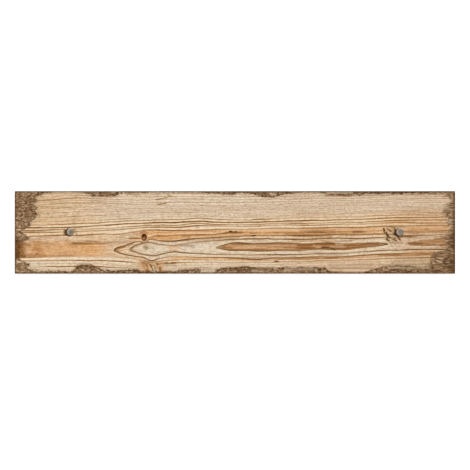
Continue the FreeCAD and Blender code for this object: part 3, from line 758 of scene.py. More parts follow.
# The nail heads and the peg hole
# Two round nail heads and an oval peg hole are part of the print. A fine moat is sunk round each head, and
# the hole is a shallow dish. Each nail is given by its place and its radius.
NAILS = [(-298.6, 0.9, 6.7), (300.0, 0.5, 6.9)]
HOLE_X, HOLE_Y = -165.0, -8.7
HOLE_HALF_X, HOLE_HALF_Y = 5.3, 6.9
nail_edge = np.minimum.reduce([np.hypot(net_x - x, net_y - y) - radius for x, y, radius in NAILS])
hole_span = np.hypot((net_x - HOLE_X) / HOLE_HALF_X, (net_y - HOLE_Y) / HOLE_HALF_Y)

# The relief of the face
# The glaze is textured in register with the print. Every depth here is cut down from the flat face, so that
# nothing stands above the size of the slab.
FURROW_DEPTH = 0.16
FURROW_INNER = 2.0
FURROW_OUTER = 0.8
FIBRE_DEPTH = 0.05
RIM_DROP = 0.22
RIM_LUMPS = 0.20
DARK_MARK_DEPTH = 0.35
NAIL_MOAT = 0.22
NAIL_WEAR = 0.03
HOLE_DEPTH = 1.1
# The nail's moat and the hole's dish ease down from the first of each pair to the second: the moat in
# millimetres outside the head, the dish in shares of the hole
MOAT_OUTER, MOAT_INNER = 4.0, 0.8
DISH_LIP, DISH_FLOOR = 1.1, 0.55
# The share of the furrows that the rough rim covers up
FURROWS_LOST_IN_RIM = 0.6
# The rim's flakes and splinters: how far they bite, and the reach from which the rim is ragged at all
FLAKE_BITE = 2.4
SPLINTER_BITE = 1.8
EVEN_REACH, RAGGED_REACH = 1.0, 10.0
RIM_STEP_HALF = 1.5
# The rim is more ragged towards both ends, from the first of these to the second
ENDS_BEGIN, ENDS_FULL = 325.0, 360.0
# A furrow has ended before the middle between two rings
MIDDLE_OF_RING, FURROW_END = 0.5, 0.35
from_ring = ring_number - np.rint(ring_number)
from_ring_mm = from_ring * ring_width
furrow = np.minimum(
    soft_step(from_ring_mm, -FURROW_INNER, 0.0),
    soft_step(from_ring_mm, FURROW_OUTER, 0.0),
) * soft_step(np.abs(from_ring), MIDDLE_OF_RING, FURROW_END) * ink_here


def uneven(seed, cell_x, cell_y):
    """Smooth lumps about zero, from seeded heights on a coarse net eased between its corners."""
    columns = int(PLANK_LENGTH / cell_x) + 3
    rows = int(PLANK_WIDTH / cell_y) + 3
    heights = np.random.default_rng(seed).uniform(-1.0, 1.0, (rows, columns))
    place_x = (net_x + HALF_LENGTH) / cell_x
    place_y = (net_y + HALF_WIDTH) / cell_y
    left, low = place_x.astype(int), place_y.astype(int)
    t, u = soft_step(place_x - left, 0.0, 1.0), soft_step(place_y - low, 0.0, 1.0)
    lower = heights[low, left] * (1 - t) + heights[low, left + 1] * t
    upper = heights[low + 1, left] * (1 - t) + heights[low + 1, left + 1] * t
    return lower * (1 - u) + upper * u


near_end = soft_step(np.abs(net_x), ENDS_BEGIN, ENDS_FULL)
raggedness = soft_step(rim_reach, EVEN_REACH, RAGGED_REACH) * (0.6 + 0.6 * near_end)
bites = FLAKE_BITE * uneven(31, 11.0, 6.0) + SPLINTER_BITE * uneven(32, 4.5, 3.0)
ragged_rim = rim_depth + raggedness * bites
in_rim = soft_step(ragged_rim, -RIM_STEP_HALF, RIM_STEP_HALF)
rim_lumps = 0.5 + 0.3 * uneven(33, 6.0, 2.6) + 0.2 * uneven(34, 3.6, 1.7)
fibres = 0.5 + 0.5 * uneven(35, 30.0, 1.7)
sunk = FURROW_DEPTH * furrow + FIBRE_DEPTH * fibres
sunk = sunk + in_rim * (RIM_DROP + RIM_LUMPS * rim_lumps - FURROWS_LOST_IN_RIM * sunk)
sunk = sunk + DARK_MARK_DEPTH * umber_mark
moat = NAIL_MOAT * soft_step(nail_edge, MOAT_OUTER, MOAT_INNER)
sunk = np.where(nail_edge < 0.0, NAIL_WEAR + NAIL_WEAR * fibres, sunk + moat)
sunk = sunk + HOLE_DEPTH * soft_step(hole_span, DISH_LIP, DISH_FLOOR)
sunk = sunk - sunk.min()

# The slab as one closed mesh
# The net of the face is let down to the bevel, the ground sides and the back bevel in rings of the same
# points. The back is left open here, and the press tool's pattern closes it.
face_points = np.stack([net_x, net_y, PLANK_THICKNESS - sunk], axis=-1).reshape(-1, 3)
row_length = FACE_COLUMNS + 1
south = np.arange(FACE_COLUMNS)
east = FACE_COLUMNS + row_length * np.arange(FACE_ROWS)
north = row_length * FACE_ROWS + np.arange(FACE_COLUMNS, 0, -1)
west = row_length * np.arange(FACE_ROWS, 0, -1)
rim_loop = np.concatenate([south, east, north, west])
loop_length = len(rim_loop)

# Each ring of the edge: how far it lies inside the squared sides, and its height. The first two make the
# bevel, a touch rounded by the glaze, which is printed with the face.
BEVEL_RINGS = 2
EDGE_RINGS = [
    (FACE_BEVEL * 0.45, PLANK_THICKNESS - FACE_BEVEL * 0.42),
    (0.0, PLANK_THICKNESS - FACE_BEVEL),
    (0.0, BACK_BEVEL),
    (BACK_BEVEL, 0.0),
]
edge_points = []
for inset, height in EDGE_RINGS:
    ring_points = face_points[rim_loop].copy()
    ring_points[:, 0] *= (HALF_LENGTH - inset) / (HALF_LENGTH - FACE_BEVEL)
    ring_points[:, 1] *= (HALF_WIDTH - inset) / (HALF_WIDTH - FACE_BEVEL)
    ring_points[:, 2] = height
    edge_points.append(ring_points)
all_points = np.concatenate([face_points] + edge_points) * MM

corner = (row_length * np.arange(FACE_ROWS)[:, None] + np.arange(FACE_COLUMNS)).ravel()
face_quads = np.stack([corner, corner + 1, corner + 1 + row_length, corner + row_length], axis=1)
edge_quads = []
upper_loop = rim_loop
for step in range(len(EDGE_RINGS)):
    lower_loop = len(face_points) + step * loop_length + np.arange(loop_length)
    upper_next = np.roll(upper_loop, -1)
    lower_next = np.roll(lower_loop, -1)
    edge_quads.append(np.stack([upper_loop, lower_loop, lower_next, upper_next], axis=1))
    upper_loop = lower_loop
all_quads = np.concatenate([face_quads] + edge_quads)

slab_mesh = bpy.data.meshes.new("glazed_plank")
slab_mesh.vertices.add(len(all_points))
slab_mesh.vertices.foreach_set("co", all_points.astype(np.float32).ravel())
slab_mesh.loops.add(all_quads.size)
slab_mesh.loops.foreach_set("vertex_index", all_quads.astype(np.int32).ravel())
slab_mesh.polygons.add(len(all_quads))
slab_mesh.polygons.foreach_set("loop_start", np.arange(0, all_quads.size, 4, dtype=np.int32))
slab_mesh.polygons.foreach_set("loop_total", np.full(len(all_quads), 4, dtype=np.int32))
slab_mesh.polygons.foreach_set("use_smooth", np.arange(len(all_quads)) < len(face_quads))
slab_mesh.update()
slab_mesh.validate()


def store(name, values):
    """Keeps a field of the print on the points of the mesh; the edge rings carry on the values at the rim."""
    at_face = values.ravel()
    at_edge = np.tile(at_face[rim_loop], len(EDGE_RINGS))
    stored = slab_mesh.attributes.new(name, "FLOAT", "POINT")
    stored.data.foreach_set("value", np.concatenate([at_face, at_edge]).astype(np.float32))


# Further in than this, the distance from the rim makes no difference
FAR_FROM_RIM = -40.0
store("ring_number", ring_number)
store("ring_width", ring_width)
store("ring_ink", ink_here)
store("grain_height", grain_height)
store("orange_stain", np.clip(orange_stain, 0.0, 1.0))
store("brown_stain_and_shade", np.clip(brown_stain_and_shade, 0.0, 1.0))
store("bleached", np.clip(bleached, 0.0, 1.0))
store("rim_depth", np.maximum(rim_depth, FAR_FROM_RIM))
store("ragged_rim", np.maximum(ragged_rim, FAR_FROM_RIM))
store("umber_mark", umber_mark)
store("grey_smudge", grey_smudge)
store("light_mark", light_mark)

# The printed matte glaze
# The wood figure is printed under a matte glaze, one ink over another, and fired in. The inks are given as
# the board's own colours: pale sapwood, resin orange, umber rings, and the grey-brown of the rough rim.


def printed(red, green, blue):
    """A colour given as it shows, from 0 to 255, turned into the light values that a shader takes."""
    shares = (red / 255, green / 255, blue / 255)
    light = [c / 12.92 if c <= 0.04045 else ((c + 0.055) / 1.055) ** 2.4 for c in shares]
    return (*light, 1.0)


def feed(socket, value):
    """Joins a socket to another node's output, or sets it to a plain value."""
    if isinstance(value, bpy.types.NodeSocket):
        socket.id_data.links.new(value, socket)
    else:
        socket.default_value = value


def add_node(tree, kind, inputs=(), **settings):
    """A new node with its settings, and each of its named inputs joined or set."""
    node = tree.nodes.new(kind)
    for name, value in settings.items():
        setattr(node, name, value)
    for name, value in dict(inputs).items():
        feed(node.inputs[name], value)
    return node


def reckon(operation, *values):
    """One sum, as a node, in the tree that its values come from."""
    tree = next(value.id_data for value in values if isinstance(value, bpy.types.NodeSocket))
    return add_node(tree, "ShaderNodeMath", enumerate(values), operation=operation).outputs[0]


def plus(first, second):
    """The sum of two values, as a node."""
    return reckon("ADD", first, second)


def minus(first, second):
    """The second value taken from the first, as a node."""
    return reckon("SUBTRACT", first, second)


def times(product, *factors):
    """A value times others, one node for each."""
    for factor in factors:
        product = reckon("MULTIPLY", product, factor)
    return product


def ease(value, start, end, low=0.0, high=1.0):
    """An even ease from one level to another while a value goes from start to end."""
    ends = {"Value": value, "From Min": start, "From Max": end, "To Min": low, "To Max": high}
    node = add_node(value.id_data, "ShaderNodeMapRange", ends, interpolation_type="SMOOTHSTEP")
    return node.outputs["Result"]


def lay(amount, under, over):
    """One ink or value laid over what is there, by an amount."""
    inks = {0: amount, 6: under, 7: over}
    return add_node(amount.id_data, "ShaderNodeMix", inks, data_type="RGBA").outputs[2]


def layered(colour, *layers):
    """Inks laid in turn: each shows as its mark goes from one value to another, up to its strength."""
    for mark, start, end, strength, ink in layers:
        colour = lay(ease(mark, start, end, 0.0, strength), colour, printed(*ink))
    return colour


def cloud(place, along, across, depth=10.0, detail=2.0, roughness=0.5, distortion=0.0):
    """Uneven cloud between 0 and 1, with lumps of so many millimetres along, across and through the plank."""
    scale = (1 / along, 1 / across, 1 / depth)
    scaled = add_node(place.id_data, "ShaderNodeVectorMath", {0: place, 1: scale}, operation="MULTIPLY")
    settings = {"Vector": scaled.outputs[0], "Scale": 1.0, "Detail": detail, "Roughness": roughness,
                "Distortion": distortion}
    return add_node(place.id_data, "ShaderNodeTexNoise", settings).outputs["Fac"]


def field(tree, name):
    """One of the print's fields, read from the points of the mesh."""
    return add_node(tree, "ShaderNodeAttribute", attribute_name=name).outputs["Fac"]


def place_in_mm(tree, turn=0.0):
    """The place on the slab in millimetres, turned a little on the face if asked."""
    where = tree.nodes.new("ShaderNodeTexCoord").outputs["Object"]
    settings = {"Vector": where, "Scale": (1 / MM, 1 / MM, 1 / MM), "Rotation": (0.0, 0.0, turn)}
    return add_node(tree, "ShaderNodeMapping", settings).outputs["Vector"]


def axes_of(place):
    """The three coordinates of a place."""
    return add_node(place.id_data, "ShaderNodeSeparateXYZ", {0: place}).outputs


def emptied_tree(owner, output_kind):
    """The node tree of a material or world, emptied, and the socket that takes its surface."""
    owner.use_nodes = True
    owner.node_tree.nodes.clear()
    return owner.node_tree, owner.node_tree.nodes.new(output_kind).inputs["Surface"]


def fresh_material(name):
    """A new material with its surface shader, and its tree."""
    material = bpy.data.materials.new(name)
    tree, surface = emptied_tree(material, "ShaderNodeOutputMaterial")
    shader = tree.nodes.new("ShaderNodeBsdfPrincipled")
    feed(surface, shader.outputs["BSDF"])
    return material, tree, shader


def bumped(shader, height, strength, depth):
    """Texture too fine for the mesh, of a depth in millimetres."""
    settings = {"Strength": strength, "Distance": depth * MM, "Height": height}
    bump = add_node(shader.id_data, "ShaderNodeBump", settings)
    feed(shader.inputs["Normal"], bump.outputs["Normal"])


glaze, tree, shader = fresh_material("printed_matte_glaze")
spot = place_in_mm(tree)
spot_x, spot_y = axes_of(spot)[:2]
ring = field(tree, "ring_number")
grain_place = add_node(tree, "ShaderNodeCombineXYZ", {0: spot_x, 1: field(tree, "grain_height")}).outputs[0]

# Sapwood: broad soft tones along the grain, then yellow patches, streaks and thin lines
tone_patch = cloud(grain_place, 150.0, 11.0)
warm_patch = cloud(place_in_mm(tree, turn=0.4), 70.0, 20.0, detail=3.0)
broad_streak = cloud(grain_place, 110.0, 5.0, roughness=0.6)
thin_streak = cloud(grain_place, 55.0, 2.3, detail=3.0, roughness=0.6)
hair_streak = cloud(grain_place, 34.0, 1.5, 7.0, detail=1.0)
fibre = cloud(grain_place, 11.0, 0.9, roughness=0.6)
fleck = cloud(grain_place, 8.0, 1.7, roughness=0.6)
speckle = cloud(spot, 3.4, 1.7, roughness=0.6)
colour = lay(ease(broad_streak, 0.35, 0.65), printed(210, 180, 146), printed(238, 216, 186))
colour = layered(
    colour,
    (tone_patch, 0.5, 0.7, 0.75, (226, 193, 168)),
    (tone_patch, 0.48, 0.3, 0.6, (204, 190, 166)),
)
yellow_patches = times(ease(warm_patch, 0.5, 0.68), ease(spot_x, -180.0, 0.0, 0.8, 0.2))
yellow_upper_left = times(ease(spot_x, -230.0, -320.0, 0.0, 0.55), ease(spot_y, 12.0, 26.0))
colour = lay(reckon("MAXIMUM", yellow_patches, yellow_upper_left), colour, printed(226, 194, 142))
colour = layered(
    colour,
    (thin_streak, 0.52, 0.66, 0.55, (164, 126, 86)),
    (thin_streak, 0.48, 0.34, 0.65, (250, 231, 204)),
    (hair_streak, 0.54, 0.7, 0.4, (146, 108, 70)),
    (hair_streak, 0.44, 0.3, 0.45, (255, 236, 206)),
)

# Rings: each darkens slowly towards its outer edge and stops short there, with pale wood beyond
ring_dark = field(tree, "ring_ink")
ring_span = field(tree, "ring_width")
ragged = cloud(grain_place, 9.0, 3.0)
ragged_ring = plus(ring, reckon("DIVIDE", minus(ragged, 1.05), ring_span))
past_ring = minus(ragged_ring, reckon("FLOOR", ragged_ring))
past_ring_mm = times(past_ring, ring_span)
before_next_mm = times(minus(1.0, past_ring), ring_span)
boldness = reckon("MULTIPLY_ADD", ring_dark, 1.1, 0.5)
outer_side = ease(past_ring_mm, 1.5, 0.3)
inner_side = reckon("POWER", ease(reckon("DIVIDE", before_next_mm, boldness), 2.3, -0.4), 1.2)
unevenness = ease(cloud(grain_place, 30.0, 6.0, detail=3.0), 0.35, 0.6, 0.82, 1.15)
ring_line = times(reckon("MAXIMUM", inner_side, outer_side), unevenness)
ring_mark = times(ring_line, ring_dark)
pale_side = times(
    ease(past_ring_mm, 0.8, 1.6),
    ease(past_ring_mm, 6.5, 2.5),
    ease(before_next_mm, 0.3, 1.2),
    ease(ring_dark, 0.0, 0.6, 0.1, 0.95),
    ease(ring, 3.2, 4.2, 0.6, 1.0),
    ease(ring, 9.0, 14.0, 1.0, 0.75),
)
pale_tone = lay(ease(ring, 3.2, 5.0), printed(248, 222, 188), printed(254, 228, 188))
pale_tone = lay(ease(ring, 9.0, 13.0), pale_tone, printed(246, 228, 202))

# Bleached wood, then the pale side of each ring, and light flecks over both
bleached_ink = times(field(tree, "bleached"), ease(thin_streak, 0.7, 0.35, 0.5, 1.0))
colour = lay(bleached_ink, colour, printed(234, 216, 190))
colour = lay(pale_side, colour, pale_tone)
colour = layered(
    colour,
    (fleck, 0.5, 0.3, 0.45, (255, 242, 216)),
    (speckle, 0.5, 0.28, 0.45, (255, 242, 218)),
)

# Resin orange with its own streaks and flecks, rippled across the grain at the left, then brown
orange_tone = lay(ease(thin_streak, 0.36, 0.64), printed(244, 187, 123), printed(204, 141, 78))
orange_tone = layered(
    orange_tone,
    (fleck, 0.5, 0.3, 0.35, (252, 206, 154)),
    (speckle, 0.5, 0.28, 0.4, (255, 214, 168)),
    (warm_patch, 0.5, 0.62, 0.4, (240, 176, 126)),
)
ripple = cloud(spot, 2.4, 7.0, roughness=0.6)
rippled = times(ease(ripple, 0.5, 0.68, 0.0, 0.4), ease(spot_x, -200.0, -300.0))
orange_tone = lay(rippled, orange_tone, printed(202, 128, 62))
orange_ink = times(
    field(tree, "orange_stain"),
    ease(broad_streak, 0.3, 0.6, 0.75, 1.0),
    ease(pale_side, 0.2, 0.9, 1.0, 0.55),
)
colour = lay(orange_ink, colour, orange_tone)
brown_ink = times(field(tree, "brown_stain_and_shade"), ease(thin_streak, 0.3, 0.6, 0.65, 1.0))
colour = lay(brown_ink, colour, printed(136, 78, 24))

# The dark lines of the rings, warm first and nearly black in the darkest, and dark flecks over everything
warm_line = times(ease(ring_line, 0.0, 0.65), reckon("MINIMUM", times(ring_dark, 1.45), 0.95))
warm_tone = lay(ease(ring, 3.4, 2.9), printed(174, 118, 58), printed(154, 118, 72))
colour = lay(warm_line, colour, warm_tone)
dark_line = times(ease(ring_line, 0.3, 1.0), ease(ring_dark, 0.2, 1.0, 0.0, 0.95))
colour = lay(dark_line, colour, printed(84, 46, 10))
colour = layered(
    colour,
    (fibre, 0.4, 0.72, 0.2, (120, 86, 52)),
    (fleck, 0.5, 0.7, 0.4, (132, 94, 54)),
    (speckle, 0.5, 0.7, 0.4, (130, 92, 54)),
)

# Grey smudges, and the cracks, chips and painted shadows by the nail heads, with a brown edge
edge_noise = cloud(spot, 3.4, 2.4, detail=3.0, roughness=0.6)
grey_ink = times(field(tree, "grey_smudge"), ease(edge_noise, 0.3, 0.6, 0.7, 1.0))
colour = lay(grey_ink, colour, printed(156, 136, 96))
umber_ink = times(field(tree, "umber_mark"), ease(edge_noise, 0.3, 0.6, 0.75, 1.1))
colour = layered(
    colour,
    (umber_ink, 0.0, 0.5, 0.85, (150, 104, 54)),
    (umber_ink, 0.3, 1.0, 1.0, (52, 26, 2)),
)

# The rough rim: squiggled grey-brown skin, streakier at the right end, paler where it has flaked
near_ends = ease(reckon("ABSOLUTE", spot_x), ENDS_BEGIN, ENDS_FULL, 0.6, 1.0)
edge_bite = times(ease(edge_noise, 0.25, 0.75, -3.0, 3.0), near_ends)
squiggle = cloud(spot, 5.4, 2.9, detail=3.0, roughness=0.62, distortion=0.9)
streaky = cloud(spot, 10.5, 2.3, detail=3.0, roughness=0.65, distortion=0.6)
at_right_end = ease(spot_x, 330.0, 360.0)
squiggle = lay(at_right_end, squiggle, streaky)
edge_bite = lay(at_right_end, edge_bite, ease(streaky, 0.3, 0.7, -7.0, 7.0))
rim_edge = plus(field(tree, "ragged_rim"), edge_bite)
rim_mark = ease(rim_edge, -1.2, 1.2)
bark_tone = minus(squiggle, ease(rim_edge, 5.0, 1.0, 0.0, 0.1))
bark_tone = minus(bark_tone, times(field(tree, "brown_stain_and_shade"), 0.11))
bark_tone = plus(bark_tone, times(field(tree, "bleached"), 0.03))
skin = lay(ease(bark_tone, 0.34, 0.49), printed(80, 52, 28), printed(138, 106, 74))
skin = layered(skin, (bark_tone, 0.5, 0.66, 0.9, (204, 176, 142)))
colour = layered(colour, (field(tree, "rim_depth"), -6.0, 2.0, 0.35, (148, 120, 88)))
colour = lay(rim_mark, colour, skin)
light_ink = times(field(tree, "light_mark"), ease(edge_noise, 0.3, 0.6, 1.0, 0.6))
colour = lay(light_ink, colour, printed(246, 224, 192))

# The peg hole: a worn pale lip, brown inside, with painted light on its lower wall and painted shade at its
# top


def distance_from(x, y, span_x=1.0, span_y=1.0):
    """How far the spot is from one place on the face, in millimetres or in the spans given."""
    off_x = times(minus(spot_x, x), 1 / span_x)
    off_y = times(minus(spot_y, y), 1 / span_y)
    return reckon("SQRT", plus(times(off_x, off_x), times(off_y, off_y)))


hole_reach = distance_from(HOLE_X, HOLE_Y, HOLE_HALF_X, HOLE_HALF_Y)
arc_over_hole = times(ease(hole_reach, 1.75, 1.4), ease(spot_y, -6.0, -1.0, 0.0, 0.75))
colour = lay(arc_over_hole, colour, printed(168, 108, 62))
colour = layered(
    colour,
    (hole_reach, 1.45, 1.2, 0.6, (214, 166, 122)),
    (hole_reach, 1.05, 0.9, 1.0, (104, 62, 30)),
    # painted light on the lower wall of the hole
    (distance_from(HOLE_X - 0.6, HOLE_Y - 1.8), 3.4, 1.6, 1.0, (166, 114, 70)),
)
# Painted shade in the top of the hole
hole_shade = times(ease(distance_from(HOLE_X - 1.2, HOLE_Y + 2.6), 4.2, 1.4), ease(hole_reach, 1.05, 0.9))
colour = lay(hole_shade, colour, printed(60, 24, 2))

# The nail heads: weathered grey steel, with a painted highlight on the upper left, painted shade on the lower
# right, and a painted shadow as a dark crescent round the left side
blotch = cloud(spot, 3.2, 2.6, detail=3.0)
for x, y, radius in NAILS:
    # Painted shadow: a dark crescent round the left side of each head
    shadow_crescent_edge = plus(distance_from(x - 3.4, y - 0.9), ease(edge_noise, 0.3, 0.7, -1.2, 1.2))
    colour = layered(colour, (shadow_crescent_edge, radius + 1.4, radius - 0.2, 0.95, (48, 26, 8)))
    dull_middle = ease(distance_from(x + 0.8, y + 0.4), 4.6, 1.5)
    steel = lay(dull_middle, printed(148, 136, 120), printed(118, 109, 97))
    steel = layered(
        steel,
        # painted highlight on the upper left of the head, and painted shade on its lower right
        (distance_from(x + 1.8, y - 1.8), 6.0, 8.2, 0.65, (198, 186, 168)),
        (distance_from(x - 1.8, y + 1.2), 6.2, 8.4, 0.9, (92, 74, 60)),
        (blotch, 0.48, 0.62, 0.4, (178, 166, 148)),
        (blotch, 0.46, 0.32, 0.6, (88, 72, 58)),
    )
    colour = lay(ease(distance_from(x, y), radius + 0.2, radius - 0.5), colour, steel)

# The edge: the print and the glaze run on over the bevel, and turn dark brown there
from_end = minus(HALF_LENGTH, reckon("ABSOLUTE", spot_x))
from_side = minus(HALF_WIDTH, reckon("ABSOLUTE", spot_y))
edge_ink = times(
    ease(reckon("MINIMUM", from_end, from_side), 3.4, 1.0, 0.0, 0.9),
    ease(squiggle, 0.35, 0.6, 1.0, 0.65),
)
colour = lay(edge_ink, colour, printed(72, 46, 22))
end_ink = times(ease(spot_x, 393.5, 397.0, 0.0, 0.7), ease(squiggle, 0.4, 0.6, 1.0, 0.6))
colour = lay(end_ink, colour, printed(84, 56, 30))

# The glaze is matte, and duller still on the dark rings and the rim
feed(shader.inputs["Base Color"], colour)
shader.inputs["Specular IOR Level"].default_value = 0.1
dullness = times(reckon("MAXIMUM", ring_mark, rim_mark), 0.14)
feed(shader.inputs["Roughness"], plus(ease(thin_streak, 0.3, 0.7, 0.58, 0.7), dullness))
texture = minus(plus(times(fibre, 0.4), times(thin_streak, 0.4)), times(ring_mark, 0.5))
bumped(shader, lay(rim_mark, texture, squiggle), strength=0.5, depth=0.12)

# The unglazed body
# Ground edges and pressed back show the through-coloured body: a warm beige porcelain, speckled with dark
# and pale grains. The squared sides keep the fine lines of the grinding wheel.
SIDE_TOP = PLANK_THICKNESS - FACE_BEVEL
body, tree, shader = fresh_material("unglazed_porcelain_body")
spot = place_in_mm(tree)
spot_z = axes_of(spot)[2]
mottle = cloud(spot, 14.0, 14.0, 14.0, detail=3.0)
speckle = cloud(spot, 0.7, 0.7, 0.7, detail=1.0)
colour = lay(ease(mottle, 0.35, 0.65), printed(168, 142, 112), printed(184, 160, 130))
colour = layered(
    colour,
    (speckle, 0.62, 0.7, 0.7, (112, 88, 62)),
    (speckle, 0.38, 0.3, 0.6, (210, 192, 164)),
)
on_side = ease(spot_z, 0.3, 0.6)
ground_line = cloud(spot, 40.0, 40.0, 0.35)
colour = lay(times(on_side, ease(ground_line, 0.45, 0.65, 0.0, 0.35)), colour, printed(202, 182, 152))
# A pale line of slip and glaze, cut through by the bevel just under the face
colour = layered(colour, (spot_z, SIDE_TOP - 0.35, SIDE_TOP - 0.2, 0.85, (226, 214, 194)))
# White kiln wash, picked up by the ribs from the rollers
on_ribs = ease(spot_z, 0.08, 0.02)
wash = cloud(spot, 30.0, 18.0, 30.0, detail=4.0, roughness=0.7)
colour = lay(times(on_ribs, ease(wash, 0.42, 0.62, 0.15, 0.7)), colour, printed(224, 216, 202))
feed(shader.inputs["Base Color"], colour)
feed(shader.inputs["Roughness"], ease(mottle, 0.3, 0.7, 0.72, 0.88))
bumped(shader, plus(speckle, times(on_side, ground_line)), strength=0.4, depth=0.08)

# The pressed back
# The lower punch of the press leaves rows of shallow drafted pockets with clipped corners, which the adhesive
# keys into. One pocket is made and repeated over the back, and the flat ribs are what is left between them.
RIB_WIDTH = 4.0
BACK_MARGIN = 10.0
POCKET_PITCH = 22.0
POCKET_DEPTH = 1.0
POCKET_DRAFT = 0.7
POCKET_CORNER_CLIP = 3.0
# Points lower than this belong to the open loop of the slab's back, and points nearer than this are welded
BACK_LOOP_BELOW = 0.01
WELD = 0.004


def fitted(half_size):
    """How many pockets fit along a half of the back, and the pitch at which the last ends at the margin."""
    room = half_size - BACK_MARGIN + RIB_WIDTH / 2
    count = max(1, round(room / POCKET_PITCH))
    return count, room / count


def press_tool():
    """The node tree of the back: an open slab goes in, and the closed slab with its pockets comes out."""
    tree = bpy.data.node_groups.new("pressed_back", "GeometryNodeTree")
    tree.interface.new_socket("Slab", in_out="INPUT", socket_type="NodeSocketGeometry")
    for name in ("Pockets along", "Pockets across"):
        tree.interface.new_socket(name, in_out="INPUT", socket_type="NodeSocketInt")
    for name in ("Pitch along", "Pitch across", "Rib width", "Depth", "Draft", "Corner clip"):
        tree.interface.new_socket(name, in_out="INPUT", socket_type="NodeSocketFloat")
    tree.interface.new_socket("Tile", in_out="OUTPUT", socket_type="NodeSocketGeometry")
    given = tree.nodes.new("NodeGroupInput").outputs
    result = tree.nodes.new("NodeGroupOutput")

    def add(kind, inputs=(), **settings):
        return add_node(tree, "GeometryNode" + kind, inputs, **settings)

    def joined(*pieces):
        join = add("JoinGeometry")
        for piece in pieces:
            feed(join.inputs[0], piece)
        return join.outputs[0]

    # The open lower loop of the slab becomes the outline of the back
    height = axes_of(add("InputPosition").outputs[0])[2]
    low_edge = reckon("LESS_THAN", height, BACK_LOOP_BELOW * MM)
    outline = add("MeshToCurve", {"Mesh": given["Slab"], "Selection": low_edge}).outputs[0]

    # One pocket's mouth, and the places of all of them
    mouth_width = minus(given["Pitch along"], given["Rib width"])
    mouth_length = minus(given["Pitch across"], given["Rib width"])
    mouth = add("CurvePrimitiveQuadrilateral", {"Width": mouth_width, "Height": mouth_length})
    clipped = add("FilletCurve", {"Curve": mouth.outputs[0], "Radius": given["Corner clip"], "Count": 1},
                  mode="POLY").outputs[0]
    places = add("MeshGrid", {
        "Vertices X": given["Pockets along"],
        "Vertices Y": given["Pockets across"],
        "Size X": times(given["Pitch along"], minus(given["Pockets along"], 1.0)),
        "Size Y": times(given["Pitch across"], minus(given["Pockets across"], 1.0)),
    }).outputs["Mesh"]
    mouths = add("InstanceOnPoints", {"Points": places, "Instance": clipped})
    mouth_loops = add("RealizeInstances", {"Geometry": mouths.outputs[0]}).outputs[0]
    ribs = add("FillCurve", {"Curve": joined(mouth_loops, outline)}, mode="TRIANGLES")
    ribs_down = add("FlipFaces", {"Mesh": ribs.outputs[0]}).outputs[0]

    # The pocket itself: its walls lean in by the draft, and its floor is level
    floor = add("FillCurve", {"Curve": clipped}, mode="NGONS")
    pull = {"Mesh": floor.outputs[0], "Offset Scale": given["Depth"], "Individual": False}
    raised = add("ExtrudeMesh", pull, mode="FACES")
    shrink = minus(1.0, reckon("DIVIDE", times(given["Draft"], 2.0), mouth_width))
    drafted = add("ScaleElements", {"Geometry": raised.outputs["Mesh"], "Selection": raised.outputs["Top"],
                                    "Scale": shrink}, domain="FACE")
    pocket = add("FlipFaces", {"Mesh": drafted.outputs[0]}).outputs[0]
    pockets = add("InstanceOnPoints", {"Points": places, "Instance": pocket}).outputs[0]

    # The slab keeps its printed face; all the rest is bare body, with crisp edges
    whole = joined(pockets, ribs_down, given["Slab"])
    solid = add("RealizeInstances", {"Geometry": whole}).outputs[0]
    welded = add("MergeByDistance", {"Geometry": solid, "Distance": WELD * MM}).outputs[0]
    on_face = add("InputNamedAttribute", {"Name": "printed_face"}, data_type="BOOLEAN").outputs["Attribute"]
    bare = add_node(tree, "FunctionNodeBooleanMath", {0: on_face}, operation="NOT").outputs[0]
    crisp = add("SetShadeSmooth", {"Geometry": welded, "Selection": bare, "Shade Smooth": False}).outputs[0]
    finished = crisp
    for selection, material in ((on_face, glaze), (bare, body)):
        finished = add("SetMaterial", {"Geometry": finished, "Selection": selection,
                                       "Material": material}).outputs[0]
    feed(result.inputs["Tile"], finished)
    return tree


face_flag = slab_mesh.attributes.new("printed_face", "BOOLEAN", "FACE")
face_flag.data.foreach_set("value", np.arange(len(all_quads)) < len(face_quads) + BEVEL_RINGS * loop_length)
slab = bpy.data.objects.new("open_slab", slab_mesh)
bpy.context.scene.collection.objects.link(slab)
press = slab.modifiers.new("press", "NODES")
press.node_group = press_tool()
pockets_along, pitch_along = fitted(HALF_LENGTH)
pockets_across, pitch_across = fitted(HALF_WIDTH)
PRESS_SETTINGS = {
    "Pockets along": 2 * pockets_along,
    "Pockets across": 2 * pockets_across,
    "Pitch along": pitch_along * MM,
    "Pitch across": pitch_across * MM,
    "Rib width": RIB_WIDTH * MM,
    "Depth": POCKET_DEPTH * MM,
    "Draft": POCKET_DRAFT * MM,
    "Corner clip": POCKET_CORNER_CLIP * MM,
}
for item in press.node_group.interface.items_tree:
    if item.name in PRESS_SETTINGS:
        press[item.identifier] = PRESS_SETTINGS[item.name]

pressed_mesh = bpy.data.meshes.new_from_object(slab.evaluated_get(bpy.context.evaluated_depsgraph_get()))
pressed_mesh.name = "glazed_plank"
bpy.data.objects.remove(slab)
plank = bpy.data.objects.new("glazed_plank", pressed_mesh)
bpy.context.scene.collection.objects.link(plank)
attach(plank, "root")
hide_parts("porcelain_plank")

# The studio
# A plain white floor, an even white surround and one broad soft light from the upper right. Together they
# light a level surface so that its colour shows about as it is written.
SURROUND_LIGHT = 0.70
KEY_LIGHT_SHARE = 0.30
KEY_HEIGHT = math.radians(52.0)
KEY_BEARING = math.radians(35.0)
KEY_SOFTNESS = math.radians(25.0)
FLOOR_HALF = 4.0
FLOOR_GLOW = 0.56
FLOOR_GREY = (0.75, 0.75, 0.75, 1.0)
WHITE = (1.0, 1.0, 1.0, 1.0)


